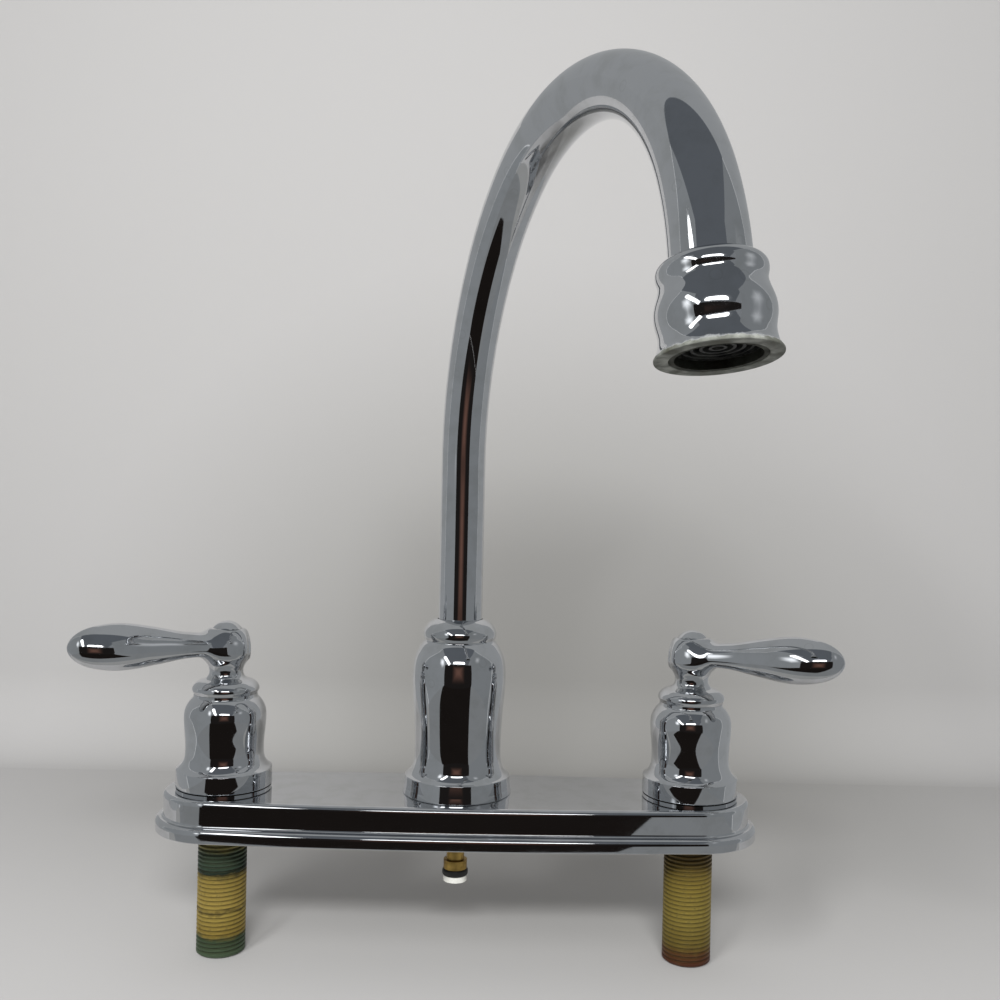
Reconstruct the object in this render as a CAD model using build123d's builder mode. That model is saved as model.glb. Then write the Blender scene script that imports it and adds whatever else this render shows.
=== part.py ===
from build123d import *

import math
import os

os.makedirs("parts", exist_ok=True)

# A two handle kitchen faucet: an oval deck plate that carries two lever handles and a high
# swivelling gooseneck spout. All sizes are in millimetres.
# The origin is the middle of the face that rests on the sink deck, +Z is up, +X runs to the right
# along the plate and +Y to the back. The spout swivels about the Z axis.

# ------------------------------------------------------------------ clearances
fixed_fit = 0.05  # radial gap between pieces that are screwed, brazed or pressed together
running_fit = 0.05  # radial gap where one piece turns or slides in another
end_play = 0.1  # gap along an axis between faces that turn against each other
loose_gap = 0.3  # radial gap around a piece that passes through a plate
overcut = 1.0  # how far a cut runs past the face it opens

# ------------------------------------------------------------------ deck plate and gasket
handle_spacing = 203.2  # 8 in between the two handle axes
plate_height = 16.7
plate_end_radius = 25.2  # wall about each handle axis
plate_half_depth = 28.3  # wall at the middle of the plate
plate_wall = 2.5
plate_top_thickness = 3.0
plate_edge_round = 2.1
foot_reach = 3.3  # how far the rounded foot stands out from the wall
foot_height = 5.9
foot_round = 2.7
foot_lift = 0.3  # the metal rim stays clear of the deck by this much
gasket_thickness = 2.5
gasket_reach = 0.5  # how far the gasket stands out from the wall, inside the foot
gasket_hole_gap = 1.1

# ------------------------------------------------------------------ shanks and valve bodies
shank_length = 54.7  # below the deck face
shank_radius = 10.4  # crests of the 1/2 in pipe thread
thread_pitch = 1.814  # 14 threads to the inch
thread_depth = 0.85
thread_half_width = 0.49
shank_chamfer = 0.8
waterway_radius = 5.5
valve_flange_radius = 13.0
barrel_radius = 11.0
barrel_height = 19.3  # above the plate
seat_height = 3.3  # floor of the cartridge bore above the plate
cartridge_radius = 9.4
port_radius = 3.4
supply_tube_radius = 4.2
supply_tube_wall = 0.8
supply_socket_depth = 3.0

# ------------------------------------------------------------------ cartridges
seat_seal_thickness = 2.0
seat_seal_hole = 5.0
disc_thickness = 3.0
disc_radius = 8.6
disc_port_radius = 2.4
disc_port_offset = 4.6
driver_thickness = 3.0
driver_radius = 8.5
cartridge_flange_radius = 10.8
cartridge_flange_thickness = 2.0
stem_radius = 4.0
stem_tip_gap = 1.0  # between the stem's tip and the web of the lever
stem_ring_section = 1.5
stem_ring_height = 5.0  # middle of the ring above the moving disc
cartridge_nut_flats = 24.5
cartridge_nut_skirt = 5.0
cartridge_nut_lip = 3.0
cartridge_nut_hole = 6.5
locknut_flats = 28.0
locknut_thickness = 4.2
nut_chamfer = 0.6

# ------------------------------------------------------------------ handles
base_ring_radius = 20.3
base_ring_thickness = 0.8
bell_gap = 0.4  # between the ring and the turning bell
bell_wall = 1.8
bell_foot_radius = 20.5
bell_foot_height = 5.1
bell_waist_radius = 16.64
bell_waist_height = 11.9
bell_swell_radius = 17.5
bell_swell_height = 28.0
bell_shoulder_radius = 14.9
bell_shoulder_height = 37.1
bell_groove_radius = 13.6
bell_groove_height = 38.4
bell_height = 39.5
bell_cavity_height = 32.1
boss_radius = 7.95
collar_radius = 14.26
collar_height = 1.8  # widest point above the bell
collar_crown_height = 6.6
collar_crown_radius = 8.7
neck_radius = 7.2
neck_height = 9.3
ball_radius = 10.0
ball_height = 62.0  # middle of the ball above the plate
ball_flat_height = 6.5  # seat of the button above the middle of the ball
lever_forward_angle = 35.0  # each closed lever points this far forward of sideways
lever_upward_angle = 2.0  # and its middle line climbs this much towards the tip
lever_root_radius = 5.3
lever_root_length = 14.3
lever_rise_radius = 7.0
lever_rise_length = 26.3
lever_swell_radius = 9.7
lever_swell_length = 47.0
lever_nose_radius = 6.1
lever_nose_length = 61.8
lever_length = 66.0
bush_radius = 6.5
bush_length = 19.0
web_height = 3.0  # thickness of the web that the handle screw clamps
web_drop = 5.7  # top of the web below the middle of the ball
screw_radius = 2.0
screw_length = 12.0
screw_hole_radius = 2.2
screw_head_radius = 3.6
screw_head_height = 2.4
screw_slot_width = 0.8
screw_slot_depth = 0.9
button_radius = 6.55
button_rise = 3.6
button_stem_radius = 5.15
button_stem_length = 7.2

# ------------------------------------------------------------------ centre body and its cover bell
center_base_radius = 14.0
center_boss_radius = 9.0
center_boss_drop = 6.0  # below the deck face
post_radius = 12.5
post_height = 45.3  # above the plate
post_bore_radius = 9.1
post_bore_depth = 32.0
chamber_radius = 6.6
chamber_drop = 8.7  # floor of the diverter chamber below the plate's top face
center_locknut_flats = 30.0
center_locknut_thickness = 4.3
spout_bell_foot_radius = 23.6
spout_bell_foot_top_radius = 22.6
spout_bell_foot_height = 7.0
spout_bell_cove_radius = 19.5
spout_bell_cove_height = 10.8
spout_bell_waist_radius = 18.74
spout_bell_waist_height = 21.0
spout_bell_swell_radius = 20.35
spout_bell_swell_height = 49.5
spout_bell_shoulder_radius = 17.9
spout_bell_shoulder_height = 61.9
spout_bell_groove_radius = 15.25
spout_bell_groove_height = 65.7
spout_bell_collar_radius = 15.9
spout_bell_collar_height = 68.8
spout_bell_crown_radius = 13.2
spout_bell_crown_height = 73.7
spout_bell_height = 75.1
spout_bell_land = 10.0  # length that grips the post
spout_bell_lip = 2.8
diverter_cage_radius = 6.5
diverter_cage_bore = 4.6
diverter_cage_length = 18.0
diverter_cage_floor = 2.0
diverter_cage_window = 2.0
plunger_radius = 4.5
plunger_length = 8.0
plunger_skirt_bore = 3.0
diverter_travel = 3.0

# ------------------------------------------------------------------ spray nipple under the plate
nipple_thread_radius = 5.0
nipple_thread_length = 8.0
nipple_radius = 3.85
nipple_drop = 13.1  # top of the nipple's collar below the deck face
nipple_collar_radius = 5.1
nipple_collar_length = 3.8
nipple_ring_radius = 5.6
nipple_ring_length = 3.0
nipple_ring_round = 1.0
nipple_nose_radius = 5.2
nipple_nose_length = 2.3
nipple_core_radius = 3.6
nipple_bore_radius = 2.2

# ------------------------------------------------------------------ spout
spout_turn = 25.0  # the spout points this far to the right of straight ahead
tube_radius = 9.525  # 3/4 in tube
tube_end_radius = 12.04
tube_wall = 1.0
tube_growth = 2.2  # power with which the radius grows along the spout
riser_height = 142.6  # straight part of the tube above the plate
rise_bend_radius = 149.5
rise_bend_angle = 34.2
shoulder_bend_radius = 113.0
shoulder_bend_angle = 19.3
crown_bend_radius = 76.1
crown_bend_angle = 103.8
fall_bend_radius = 103.9
fall_bend_angle = 13.1
tube_tail = 3.4  # straight end of the tube that shows
tube_tuck = 8.0  # end of the tube hidden in the outlet bell
tube_section_spacing = 16.0
thrust_washer_thickness = 0.8
insert_flange_radius = 11.5
insert_flange_thickness = 3.0
insert_depth = 28.0
insert_tube_length = 14.0
insert_bore_radius = 5.5
seal_section = 1.6
upper_seal_depth = 8.0  # middles of the two seals below the spout's flange
lower_seal_depth = 14.0
bush_wall_gap = 0.2  # play of the spout's flange under its bushing
bushing_wall = 2.9

# ------------------------------------------------------------------ outlet bell and aerator
outlet_bead_radius = 16.0
outlet_bead_length = 4.4
outlet_groove_radius = 14.9
outlet_groove_length = 7.5
outlet_bulb_radius = 17.3
outlet_bulb_length = 15.4
outlet_waist_radius = 16.0
outlet_waist_length = 22.6
outlet_lip_radius = 18.4
outlet_lip_length = 26.8
outlet_length = 28.5
outlet_edge_radius = 18.0
outlet_neck_radius = 10.0
outlet_neck_length = 4.0
aerator_radius = 14.0  # bore in the outlet bell
aerator_wall = 0.95
aerator_mouth_radius = 12.44
aerator_lip_length = 2.7
aerator_recess = 0.3  # the housing stays inside the outlet's face by this much
aerator_washer_thickness = 2.5
aerator_washer_hole = 9.5
screen_thickness = 0.6
screen_hole_radius = 0.7
screen_ring_holes = 8  # holes in the inner ring, and how many more each next ring has
screen_rings = 4
jet_ring_depth = 3.5
jet_ring_wall = 0.9
jet_ring_count = 4
jet_hole_radius = 0.8
jet_hole_count = 16

# ------------------------------------------------------------------ places worked out from the sizes
handle_x = handle_spacing / 2
plate_under = plate_height - plate_top_thickness
valve_top = plate_height + barrel_height
seat_z = plate_height + seat_height
port_z = (gasket_thickness + plate_under) / 2
shell_bottom = seat_z + seat_seal_thickness
moving_disc_z = shell_bottom + disc_thickness
stem_z = moving_disc_z + disc_thickness
bell_bottom = plate_height + base_ring_thickness + bell_gap
bell_top = bell_bottom + bell_height
ball_z = plate_height + ball_height
button_seat = ball_z + ball_flat_height
web_top = ball_z - web_drop
web_bottom = web_top - web_height
stem_top = web_bottom - stem_tip_gap
boss_bottom = bell_bottom + bell_cavity_height
post_top = plate_height + post_height
spout_bell_top = plate_height + spout_bell_height
insert_flange_z = post_top + thrust_washer_thickness + end_play
tube_bottom = insert_flange_z + insert_flange_thickness
bushing_bottom = tube_bottom + bush_wall_gap
bushing_top = spout_bell_top - spout_bell_lip
bushing_radius = tube_radius + running_fit + bushing_wall
chamber_floor = plate_height - chamber_drop
cage_bottom = chamber_floor + diverter_cage_floor
riser_top = plate_height + riser_height
sides = (("hot", -1), ("cold", 1))  # hot is on the left, seen from the front


def save(piece, name):
    """Label a finished piece and write it to its own file."""
    piece.part.label = name
    export_step(piece.part, f"parts/{name}.step")


def upright(x):
    """Drawing plane through the vertical axis at x: radius across, height up."""
    return Plane(origin=(x, 0, 0), x_dir=(1, 0, 0), z_dir=(0, -1, 0))


def vertical(x):
    """Vertical axis at x."""
    return Axis((x, 0, 0), (0, 0, 1))


def turn(piece_plane, piece_axis, points):
    """Solid of revolution from a closed outline of straight lines."""
    with BuildPart() as turned:
        with BuildSketch(piece_plane):
            with BuildLine():
                Polyline(*points, close=True)
            make_face()
        revolve(axis=piece_axis)
    return turned


def ring(x, bottom, height, outer, inner):
    """Upright ring about the vertical axis at x."""
    with BuildPart() as washer:
        with BuildSketch(Plane.XY.offset(bottom)):
            with Locations((x, 0)):
                Circle(outer)
                Circle(inner, mode=Mode.SUBTRACT)
        extrude(amount=height)
    return washer


def hex_nut(x, bottom, height, flats, bore):
    """Six-sided nut about the vertical axis at x, with its upper corners broken."""
    with BuildPart() as nut:
        with BuildSketch(Plane.XY.offset(bottom)):
            with Locations((x, 0)):
                RegularPolygon(flats / 2, 6, major_radius=False)
        extrude(amount=height)
        chamfer(nut.faces().sort_by(Axis.Z)[-1].edges(), nut_chamfer)
        with BuildSketch(Plane.XY.offset(bottom)):
            with Locations((x, 0)):
                Circle(bore)
        extrude(amount=height, mode=Mode.SUBTRACT)
    return nut


def o_ring(x, middle, inner, section):
    """Round ring of the given section whose inside rests on the radius inner."""
    with BuildPart() as seal:
        with BuildSketch(upright(x)):
            with Locations((inner + section / 2, middle)):
                Circle(section / 2)
        revolve(axis=vertical(x))
    return seal


def plate_outline(grow, height):
    """Oval outline at a height, moved out by grow: two end arcs joined by long, nearly flat arcs."""
    spare = plate_half_depth - plate_end_radius
    long_radius = (handle_x**2 + plate_half_depth**2 - plate_end_radius**2) / (2 * spare)
    reach = plate_end_radius + grow
    between_centres = long_radius - plate_end_radius
    join_x = handle_x + reach * handle_x / between_centres
    join_y = reach * (long_radius - plate_half_depth) / between_centres
    with BuildSketch(Plane.XY.offset(height)) as outline:
        with BuildLine():
            ThreePointArc((-join_x, join_y), (0, plate_half_depth + grow), (join_x, join_y))
            ThreePointArc((join_x, join_y), (handle_x + reach, 0), (join_x, -join_y))
            ThreePointArc((join_x, -join_y), (0, -plate_half_depth - grow), (-join_x, -join_y))
            ThreePointArc((-join_x, -join_y), (-handle_x - reach, 0), (-join_x, join_y))
        make_face()
    return outline.sketch


# ================================================================== deck plate
gasket_pocket = gasket_reach + loose_gap
with BuildPart() as deck_plate:
    extrude(plate_outline(foot_reach, foot_lift), amount=foot_height - foot_lift)
    fillet(deck_plate.faces().sort_by(Axis.Z)[-1].edges(), foot_round)
    extrude(plate_outline(0, foot_lift), amount=plate_height - foot_lift)
    fillet(deck_plate.faces().sort_by(Axis.Z)[-1].edges(), plate_edge_round)
    extrude(plate_outline(-plate_wall, foot_lift), amount=plate_under - foot_lift, mode=Mode.SUBTRACT)
    pocket_depth = gasket_thickness - foot_lift
    extrude(plate_outline(gasket_pocket, foot_lift), amount=pocket_depth, mode=Mode.SUBTRACT)
    with BuildSketch(Plane.XY.offset(plate_under)):
        Circle(post_radius + loose_gap)
        with Locations((-handle_x, 0), (handle_x, 0)):
            Circle(barrel_radius + loose_gap)
    extrude(amount=plate_top_thickness, mode=Mode.SUBTRACT)
save(deck_plate, "deck_plate")

with BuildPart() as deck_gasket:
    extrude(plate_outline(gasket_reach, 0), amount=gasket_thickness)
    with BuildSketch(Plane.XY):
        Circle(center_boss_radius + gasket_hole_gap)
        with Locations((-handle_x, 0), (handle_x, 0)):
            Circle(shank_radius + gasket_hole_gap)
    extrude(amount=gasket_thickness, mode=Mode.SUBTRACT)
save(deck_gasket, "deck_gasket")


# ================================================================== valves under the handles
def valve_body_outline():
    """Half section of a valve body, from the foot of the threaded shank up to the barrel."""
    shank_bottom = -shank_length
    points = [(waterway_radius, shank_bottom)]
    points.append((shank_radius - shank_chamfer, shank_bottom))
    points.append((shank_radius, shank_bottom + shank_chamfer))
    groove_count = int((shank_length - shank_chamfer) / thread_pitch) - 1
    for turn_number in range(groove_count):
        groove_bottom = shank_bottom + shank_chamfer + thread_pitch * (turn_number + 0.5)
        points.append((shank_radius, groove_bottom))
        points.append((shank_radius - thread_depth, groove_bottom + thread_half_width))
        points.append((shank_radius, groove_bottom + 2 * thread_half_width))
    points.append((shank_radius, gasket_thickness))
    points.append((valve_flange_radius, gasket_thickness))
    points.append((valve_flange_radius, plate_under))
    points.append((barrel_radius, plate_under))
    points.append((barrel_radius, valve_top))
    points.append((cartridge_radius + fixed_fit, valve_top))
    points.append((cartridge_radius + fixed_fit, seat_z))
    points.append((waterway_radius, seat_z))
    return points


def valve_body(x, toward_middle):
    """Brass body of one valve: threaded shank, flange under the plate, barrel and side port."""
    with BuildPart() as body:
        with BuildSketch(upright(x)):
            with BuildLine():
                Polyline(*valve_body_outline(), close=True)
            make_face()
        revolve(axis=vertical(x))
        across = Plane(origin=(x, 0, port_z), x_dir=(0, 1, 0), z_dir=(toward_middle, 0, 0))
        with BuildSketch(across):
            Circle(port_radius)
        extrude(amount=valve_flange_radius, mode=Mode.SUBTRACT)
        with BuildSketch(across.offset(valve_flange_radius - supply_socket_depth)):
            Circle(supply_tube_radius + fixed_fit)
        extrude(amount=supply_socket_depth + overcut, mode=Mode.SUBTRACT)
    return body


def supply_tube(toward_side):
    """Copper tube that carries water from one valve body to the centre body."""
    inner_end = center_base_radius - supply_socket_depth
    outer_end = handle_x - valve_flange_radius + supply_socket_depth
    start = Plane(origin=(toward_side * inner_end, 0, port_z), x_dir=(0, 1, 0), z_dir=(toward_side, 0, 0))
    with BuildPart() as tube:
        with BuildSketch(start):
            Circle(supply_tube_radius)
            Circle(supply_tube_radius - supply_tube_wall, mode=Mode.SUBTRACT)
        extrude(amount=outer_end - inner_end)
    return tube


def ported_disc(x, bottom, port_angle):
    """Ceramic disc with two water ports on opposite sides."""
    with BuildPart() as disc:
        with BuildSketch(Plane.XY.offset(bottom)):
            with Locations((x, 0)):
                Circle(disc_radius)
                with PolarLocations(disc_port_offset, 2, start_angle=port_angle):
                    Circle(disc_port_radius, mode=Mode.SUBTRACT)
        extrude(amount=disc_thickness)
    return disc


def cartridge_shell(x):
    """Cylinder that holds the discs and guides the stem, with a flange on the barrel's top."""
    cavity_radius = disc_radius + running_fit
    cavity_top = stem_z + driver_thickness + end_play
    flange_top = valve_top + cartridge_flange_thickness
    stem_bore = stem_radius + running_fit
    points = [(cavity_radius, shell_bottom), (cartridge_radius, shell_bottom)]
    points += [(cartridge_radius, valve_top), (cartridge_flange_radius, valve_top)]
    points += [(cartridge_flange_radius, flange_top), (stem_bore, flange_top)]
    points += [(stem_bore, cavity_top), (cavity_radius, cavity_top)]
    return turn(upright(x), vertical(x), points)


def cartridge_nut(x):
    """Six-sided nut that screws over the barrel and holds the cartridge down."""
    flange_top = valve_top + cartridge_flange_thickness
    nut_bottom = valve_top - cartridge_nut_skirt
    nut_height = flange_top + cartridge_nut_lip - nut_bottom
    with BuildPart() as nut:
        with BuildSketch(Plane.XY.offset(nut_bottom)):
            with Locations((x, 0)):
                RegularPolygon(cartridge_nut_flats / 2, 6, major_radius=False)
        extrude(amount=nut_height)
        chamfer(nut.faces().sort_by(Axis.Z)[-1].edges(), nut_chamfer)
        with BuildSketch(Plane.XY.offset(nut_bottom)):
            with Locations((x, 0)):
                Circle(barrel_radius + fixed_fit)
        extrude(amount=flange_top - nut_bottom, mode=Mode.SUBTRACT)
        with BuildSketch(Plane.XY.offset(flange_top)):
            with Locations((x, 0)):
                Circle(cartridge_nut_hole)
        extrude(amount=cartridge_nut_lip, mode=Mode.SUBTRACT)
    return nut


def stem(x):
    """Brass stem with the disc driver at its foot, a seal groove and a tapped hole in its tip."""
    driver_top = stem_z + driver_thickness
    groove_middle = stem_z + stem_ring_height
    groove_radius = stem_radius + running_fit - stem_ring_section
    half_groove = stem_ring_section / 2 + fixed_fit
    hole_radius = screw_radius + fixed_fit
    hole_floor = web_top - screw_length - overcut
    points = [(0, stem_z), (driver_radius, stem_z), (driver_radius, driver_top)]
    points += [(stem_radius, driver_top), (stem_radius, groove_middle - half_groove)]
    points += [(groove_radius, groove_middle - half_groove), (groove_radius, groove_middle + half_groove)]
    points += [(stem_radius, groove_middle + half_groove), (stem_radius, stem_top)]
    points += [(hole_radius, stem_top), (hole_radius, hole_floor), (0, hole_floor)]
    return turn(upright(x), vertical(x), points)


for side, direction in sides:
    axis_x = direction * handle_x
    save(valve_body(axis_x, -direction), f"{side}_valve_body")
    save(supply_tube(direction), f"{side}_supply_tube")
    washer = ring(axis_x, plate_height, base_ring_thickness, base_ring_radius, barrel_radius + loose_gap)
    save(washer, f"{side}_base_ring")
    locknut_bottom = plate_height + base_ring_thickness
    locknut_bore = barrel_radius + fixed_fit
    locknut = hex_nut(axis_x, locknut_bottom, locknut_thickness, locknut_flats, locknut_bore)
    save(locknut, f"{side}_locknut")
    seat_seal = ring(axis_x, seat_z, seat_seal_thickness, cartridge_radius, seat_seal_hole)
    save(seat_seal, f"{side}_seat_seal")
    save(ported_disc(axis_x, shell_bottom, 0), f"{side}_fixed_disc")
    save(ported_disc(axis_x, moving_disc_z, 90), f"{side}_moving_disc")
    save(cartridge_shell(axis_x), f"{side}_cartridge_shell")
    save(cartridge_nut(axis_x), f"{side}_cartridge_nut")
    save(stem(axis_x), f"{side}_stem")
    ring_inner = stem_radius + running_fit - stem_ring_section
    ring_z = stem_z + stem_ring_height
    save(o_ring(axis_x, ring_z, ring_inner, stem_ring_section), f"{side}_stem_o_ring")


# ================================================================== handles
def handle_bell(x):
    """Bell-shaped skirt that turns with the lever and hides the cartridge."""
    foot = (bell_foot_radius, bell_bottom + bell_foot_height)
    waist = (bell_waist_radius, bell_bottom + bell_waist_height)
    swell = (bell_swell_radius, bell_bottom + bell_swell_height)
    shoulder = (bell_shoulder_radius, bell_bottom + bell_shoulder_height)
    groove = (bell_groove_radius, bell_bottom + bell_groove_height)
    rim = (bell_groove_radius, bell_top)
    with BuildPart() as bell:
        with BuildSketch(upright(x)):
            with BuildLine():
                Line((0, bell_bottom), (bell_foot_radius, bell_bottom))
                Line((bell_foot_radius, bell_bottom), foot)
                Spline(foot, waist, swell, shoulder, tangents=((-0.2, 1), (-0.8, 1)))
                Line(shoulder, groove)
                Line(groove, rim)
                Line(rim, (0, bell_top))
                Line((0, bell_top), (0, bell_bottom))
            make_face()
        revolve(axis=vertical(x))
        with BuildSketch(upright(x)):
            with BuildLine():
                wide = bell_foot_radius - bell_wall
                narrow = bell_waist_radius - bell_wall
                cove_low = bell_bottom + bell_foot_height - bell_wall
                cove_high = bell_bottom + bell_waist_height - bell_wall
                Polyline((0, bell_bottom), (wide, bell_bottom), (wide, cove_low), (narrow, cove_high))
                Polyline((narrow, cove_high), (narrow, boss_bottom), (0, boss_bottom), (0, bell_bottom))
            make_face()
        revolve(axis=vertical(x), mode=Mode.SUBTRACT)
        with BuildSketch(Plane.XY.offset(boss_bottom)):
            with Locations((x, 0)):
                Circle(boss_radius + fixed_fit)
        extrude(amount=bell_top - boss_bottom, mode=Mode.SUBTRACT)
    return bell


def lever(x, direction):
    """Handle in one piece: boss in the bell, collar, neck, ball and the swelling lever."""
    forward = math.radians(lever_forward_angle)
    upward = math.radians(lever_upward_angle)
    level = math.cos(upward)
    outward = (direction * math.cos(forward) * level, -math.sin(forward) * level, math.sin(upward))
    lever_plane = Plane(origin=(x, 0, ball_z), x_dir=outward, z_dir=(outward[1], -outward[0], 0))
    collar = (collar_radius, bell_top + collar_height)
    crown = (collar_crown_radius, bell_top + collar_crown_height)
    neck = (neck_radius, bell_top + neck_height)
    ball_foot_height = -0.44 * ball_radius
    ball_foot = (math.sqrt(ball_radius**2 - ball_foot_height**2), ball_z + ball_foot_height)
    ball_side = (ball_radius, ball_z)
    ball_top = (math.sqrt(ball_radius**2 - ball_flat_height**2), button_seat)
    with BuildPart() as handle:
        with BuildSketch(upright(x)):
            with BuildLine():
                Polyline((0, bell_top), (bell_groove_radius, bell_top), collar)
                Spline(collar, crown, tangents=((0, 1), (-1, 0.25)))
                Spline(crown, neck, ball_foot, tangents=((-1, 0.25), (-ball_foot_height, ball_foot[0])))
                ThreePointArc(ball_foot, ball_side, ball_top)
                Polyline(ball_top, (0, button_seat), (0, bell_top))
            make_face()
        revolve(axis=vertical(x))
        with BuildSketch(lever_plane):
            with BuildLine():
                root = (lever_root_length, lever_root_radius)
                rise = (lever_rise_length, lever_rise_radius)
                widest = (lever_swell_length, lever_swell_radius)
                nose = (lever_nose_length, lever_nose_radius)
                tip = (lever_length, 0)
                Polyline((0, 0), (0, lever_root_radius), root)
                Spline(root, rise, widest, nose, tip, tangents=((1, 0), (0, -1)))
                Line(tip, (0, 0))
            make_face()
        revolve(axis=Axis((x, 0, ball_z), outward))
        with BuildSketch(Plane.XY.offset(boss_bottom)):
            with Locations((x, 0)):
                Circle(boss_radius)
        extrude(amount=bell_top - boss_bottom)
        with BuildSketch(Plane.XY.offset(boss_bottom)):
            with Locations((x, 0)):
                Circle(bush_radius + fixed_fit)
        extrude(amount=web_bottom - boss_bottom, mode=Mode.SUBTRACT)
        with BuildSketch(Plane.XY.offset(web_bottom)):
            with Locations((x, 0)):
                Circle(screw_hole_radius)
        extrude(amount=web_height, mode=Mode.SUBTRACT)
        with BuildSketch(Plane.XY.offset(web_top)):
            with Locations((x, 0)):
                Circle(button_stem_radius + fixed_fit)
        extrude(amount=button_seat - web_top, mode=Mode.SUBTRACT)
    return handle


def handle_screw(x):
    """Slotted screw that clamps the lever to the stem."""
    with BuildPart() as screw:
        with BuildSketch(Plane.XY.offset(web_top - screw_length)):
            with Locations((x, 0)):
                Circle(screw_radius)
        extrude(amount=screw_length)
        with BuildSketch(Plane.XY.offset(web_top)):
            with Locations((x, 0)):
                Circle(screw_head_radius)
        extrude(amount=screw_head_height)
        with BuildSketch(Plane.XY.offset(web_top + screw_head_height - screw_slot_depth)):
            with Locations((x, 0)):
                Rectangle(2 * screw_head_radius + overcut, screw_slot_width)
        extrude(amount=screw_slot_depth, mode=Mode.SUBTRACT)
    return screw


def plug_button(x):
    """Domed cap that snaps into the top of the ball and hides the screw."""
    stem_bottom = button_seat - button_stem_length
    with BuildPart() as button:
        with BuildSketch(upright(x)):
            with BuildLine():
                Polyline((0, stem_bottom), (button_stem_radius, stem_bottom))
                Line((button_stem_radius, stem_bottom), (button_stem_radius, button_seat))
                Line((button_stem_radius, button_seat), (button_radius, button_seat))
                TangentArc((0, button_seat + button_rise), (button_radius, button_seat), tangent=(1, 0))
                Line((0, button_seat + button_rise), (0, stem_bottom))
            make_face()
        revolve(axis=vertical(x))
    return button


for side, direction in sides:
    axis_x = direction * handle_x
    save(handle_bell(axis_x), f"{side}_handle_bell")
    save(lever(axis_x, direction), f"{side}_lever")
    bush = ring(axis_x, web_bottom - bush_length, bush_length, bush_radius, stem_radius + fixed_fit)
    save(bush, f"{side}_spline_bush")
    save(handle_screw(axis_x), f"{side}_handle_screw")
    save(plug_button(axis_x), f"{side}_plug_button")

# ================================================================== centre body, diverter and bell
with BuildPart() as center_body:
    with BuildSketch(Plane.XY.offset(-center_boss_drop)):
        Circle(center_boss_radius)
    extrude(amount=center_boss_drop + gasket_thickness)
    with BuildSketch(Plane.XY.offset(gasket_thickness)):
        Circle(center_base_radius)
    extrude(amount=plate_under - gasket_thickness)
    with BuildSketch(Plane.XY.offset(plate_under)):
        Circle(post_radius)
    extrude(amount=post_top - plate_under)
    with BuildSketch(Plane.XY.offset(post_top - post_bore_depth)):
        Circle(post_bore_radius)
    extrude(amount=post_bore_depth, mode=Mode.SUBTRACT)
    with BuildSketch(Plane.XY.offset(chamber_floor)):
        Circle(chamber_radius)
    extrude(amount=post_top - chamber_floor, mode=Mode.SUBTRACT)
    with BuildSketch(Plane.XY.offset(-center_boss_drop)):
        Circle(nipple_thread_radius + fixed_fit)
    extrude(amount=nipple_thread_length, mode=Mode.SUBTRACT)
    with BuildSketch(Plane.XY.offset(-center_boss_drop)):
        Circle(nipple_bore_radius)
    extrude(amount=chamber_floor + center_boss_drop, mode=Mode.SUBTRACT)
    for side, direction in sides:
        across = Plane(origin=(0, 0, port_z), x_dir=(0, 1, 0), z_dir=(direction, 0, 0))
        with BuildSketch(across):
            Circle(port_radius)
        extrude(amount=center_base_radius, mode=Mode.SUBTRACT)
        with BuildSketch(across.offset(center_base_radius - supply_socket_depth)):
            Circle(supply_tube_radius + fixed_fit)
        extrude(amount=supply_socket_depth + overcut, mode=Mode.SUBTRACT)
save(center_body, "center_body")

center_nut_bore = post_radius + fixed_fit
center_locknut = hex_nut(0, plate_height, center_locknut_thickness, center_locknut_flats, center_nut_bore)
save(center_locknut, "center_locknut")

with BuildPart() as diverter_cage:
    with BuildSketch(Plane.XY.offset(chamber_floor)):
        Circle(diverter_cage_radius)
    extrude(amount=diverter_cage_length)
    with BuildSketch(Plane.XY.offset(cage_bottom)):
        Circle(diverter_cage_bore)
    extrude(amount=diverter_cage_length, mode=Mode.SUBTRACT)
    with BuildSketch(Plane.XY.offset(chamber_floor)):
        Circle(nipple_bore_radius)
    extrude(amount=diverter_cage_floor, mode=Mode.SUBTRACT)
    window_height = cage_bottom + plunger_length + diverter_travel + diverter_cage_window
    with BuildSketch(Plane.XZ.offset(-diverter_cage_radius)):
        with Locations((0, window_height)):
            Circle(diverter_cage_window)
    extrude(amount=2 * diverter_cage_radius, mode=Mode.SUBTRACT)
save(diverter_cage, "diverter_cage")

with BuildPart() as diverter_plunger:
    with BuildSketch(Plane.XY.offset(cage_bottom)):
        Circle(plunger_radius)
    extrude(amount=plunger_length)
    with BuildSketch(Plane.XY.offset(cage_bottom)):
        Circle(plunger_skirt_bore)
    extrude(amount=plunger_length / 2, mode=Mode.SUBTRACT)
save(diverter_plunger, "diverter_plunger")

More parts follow.
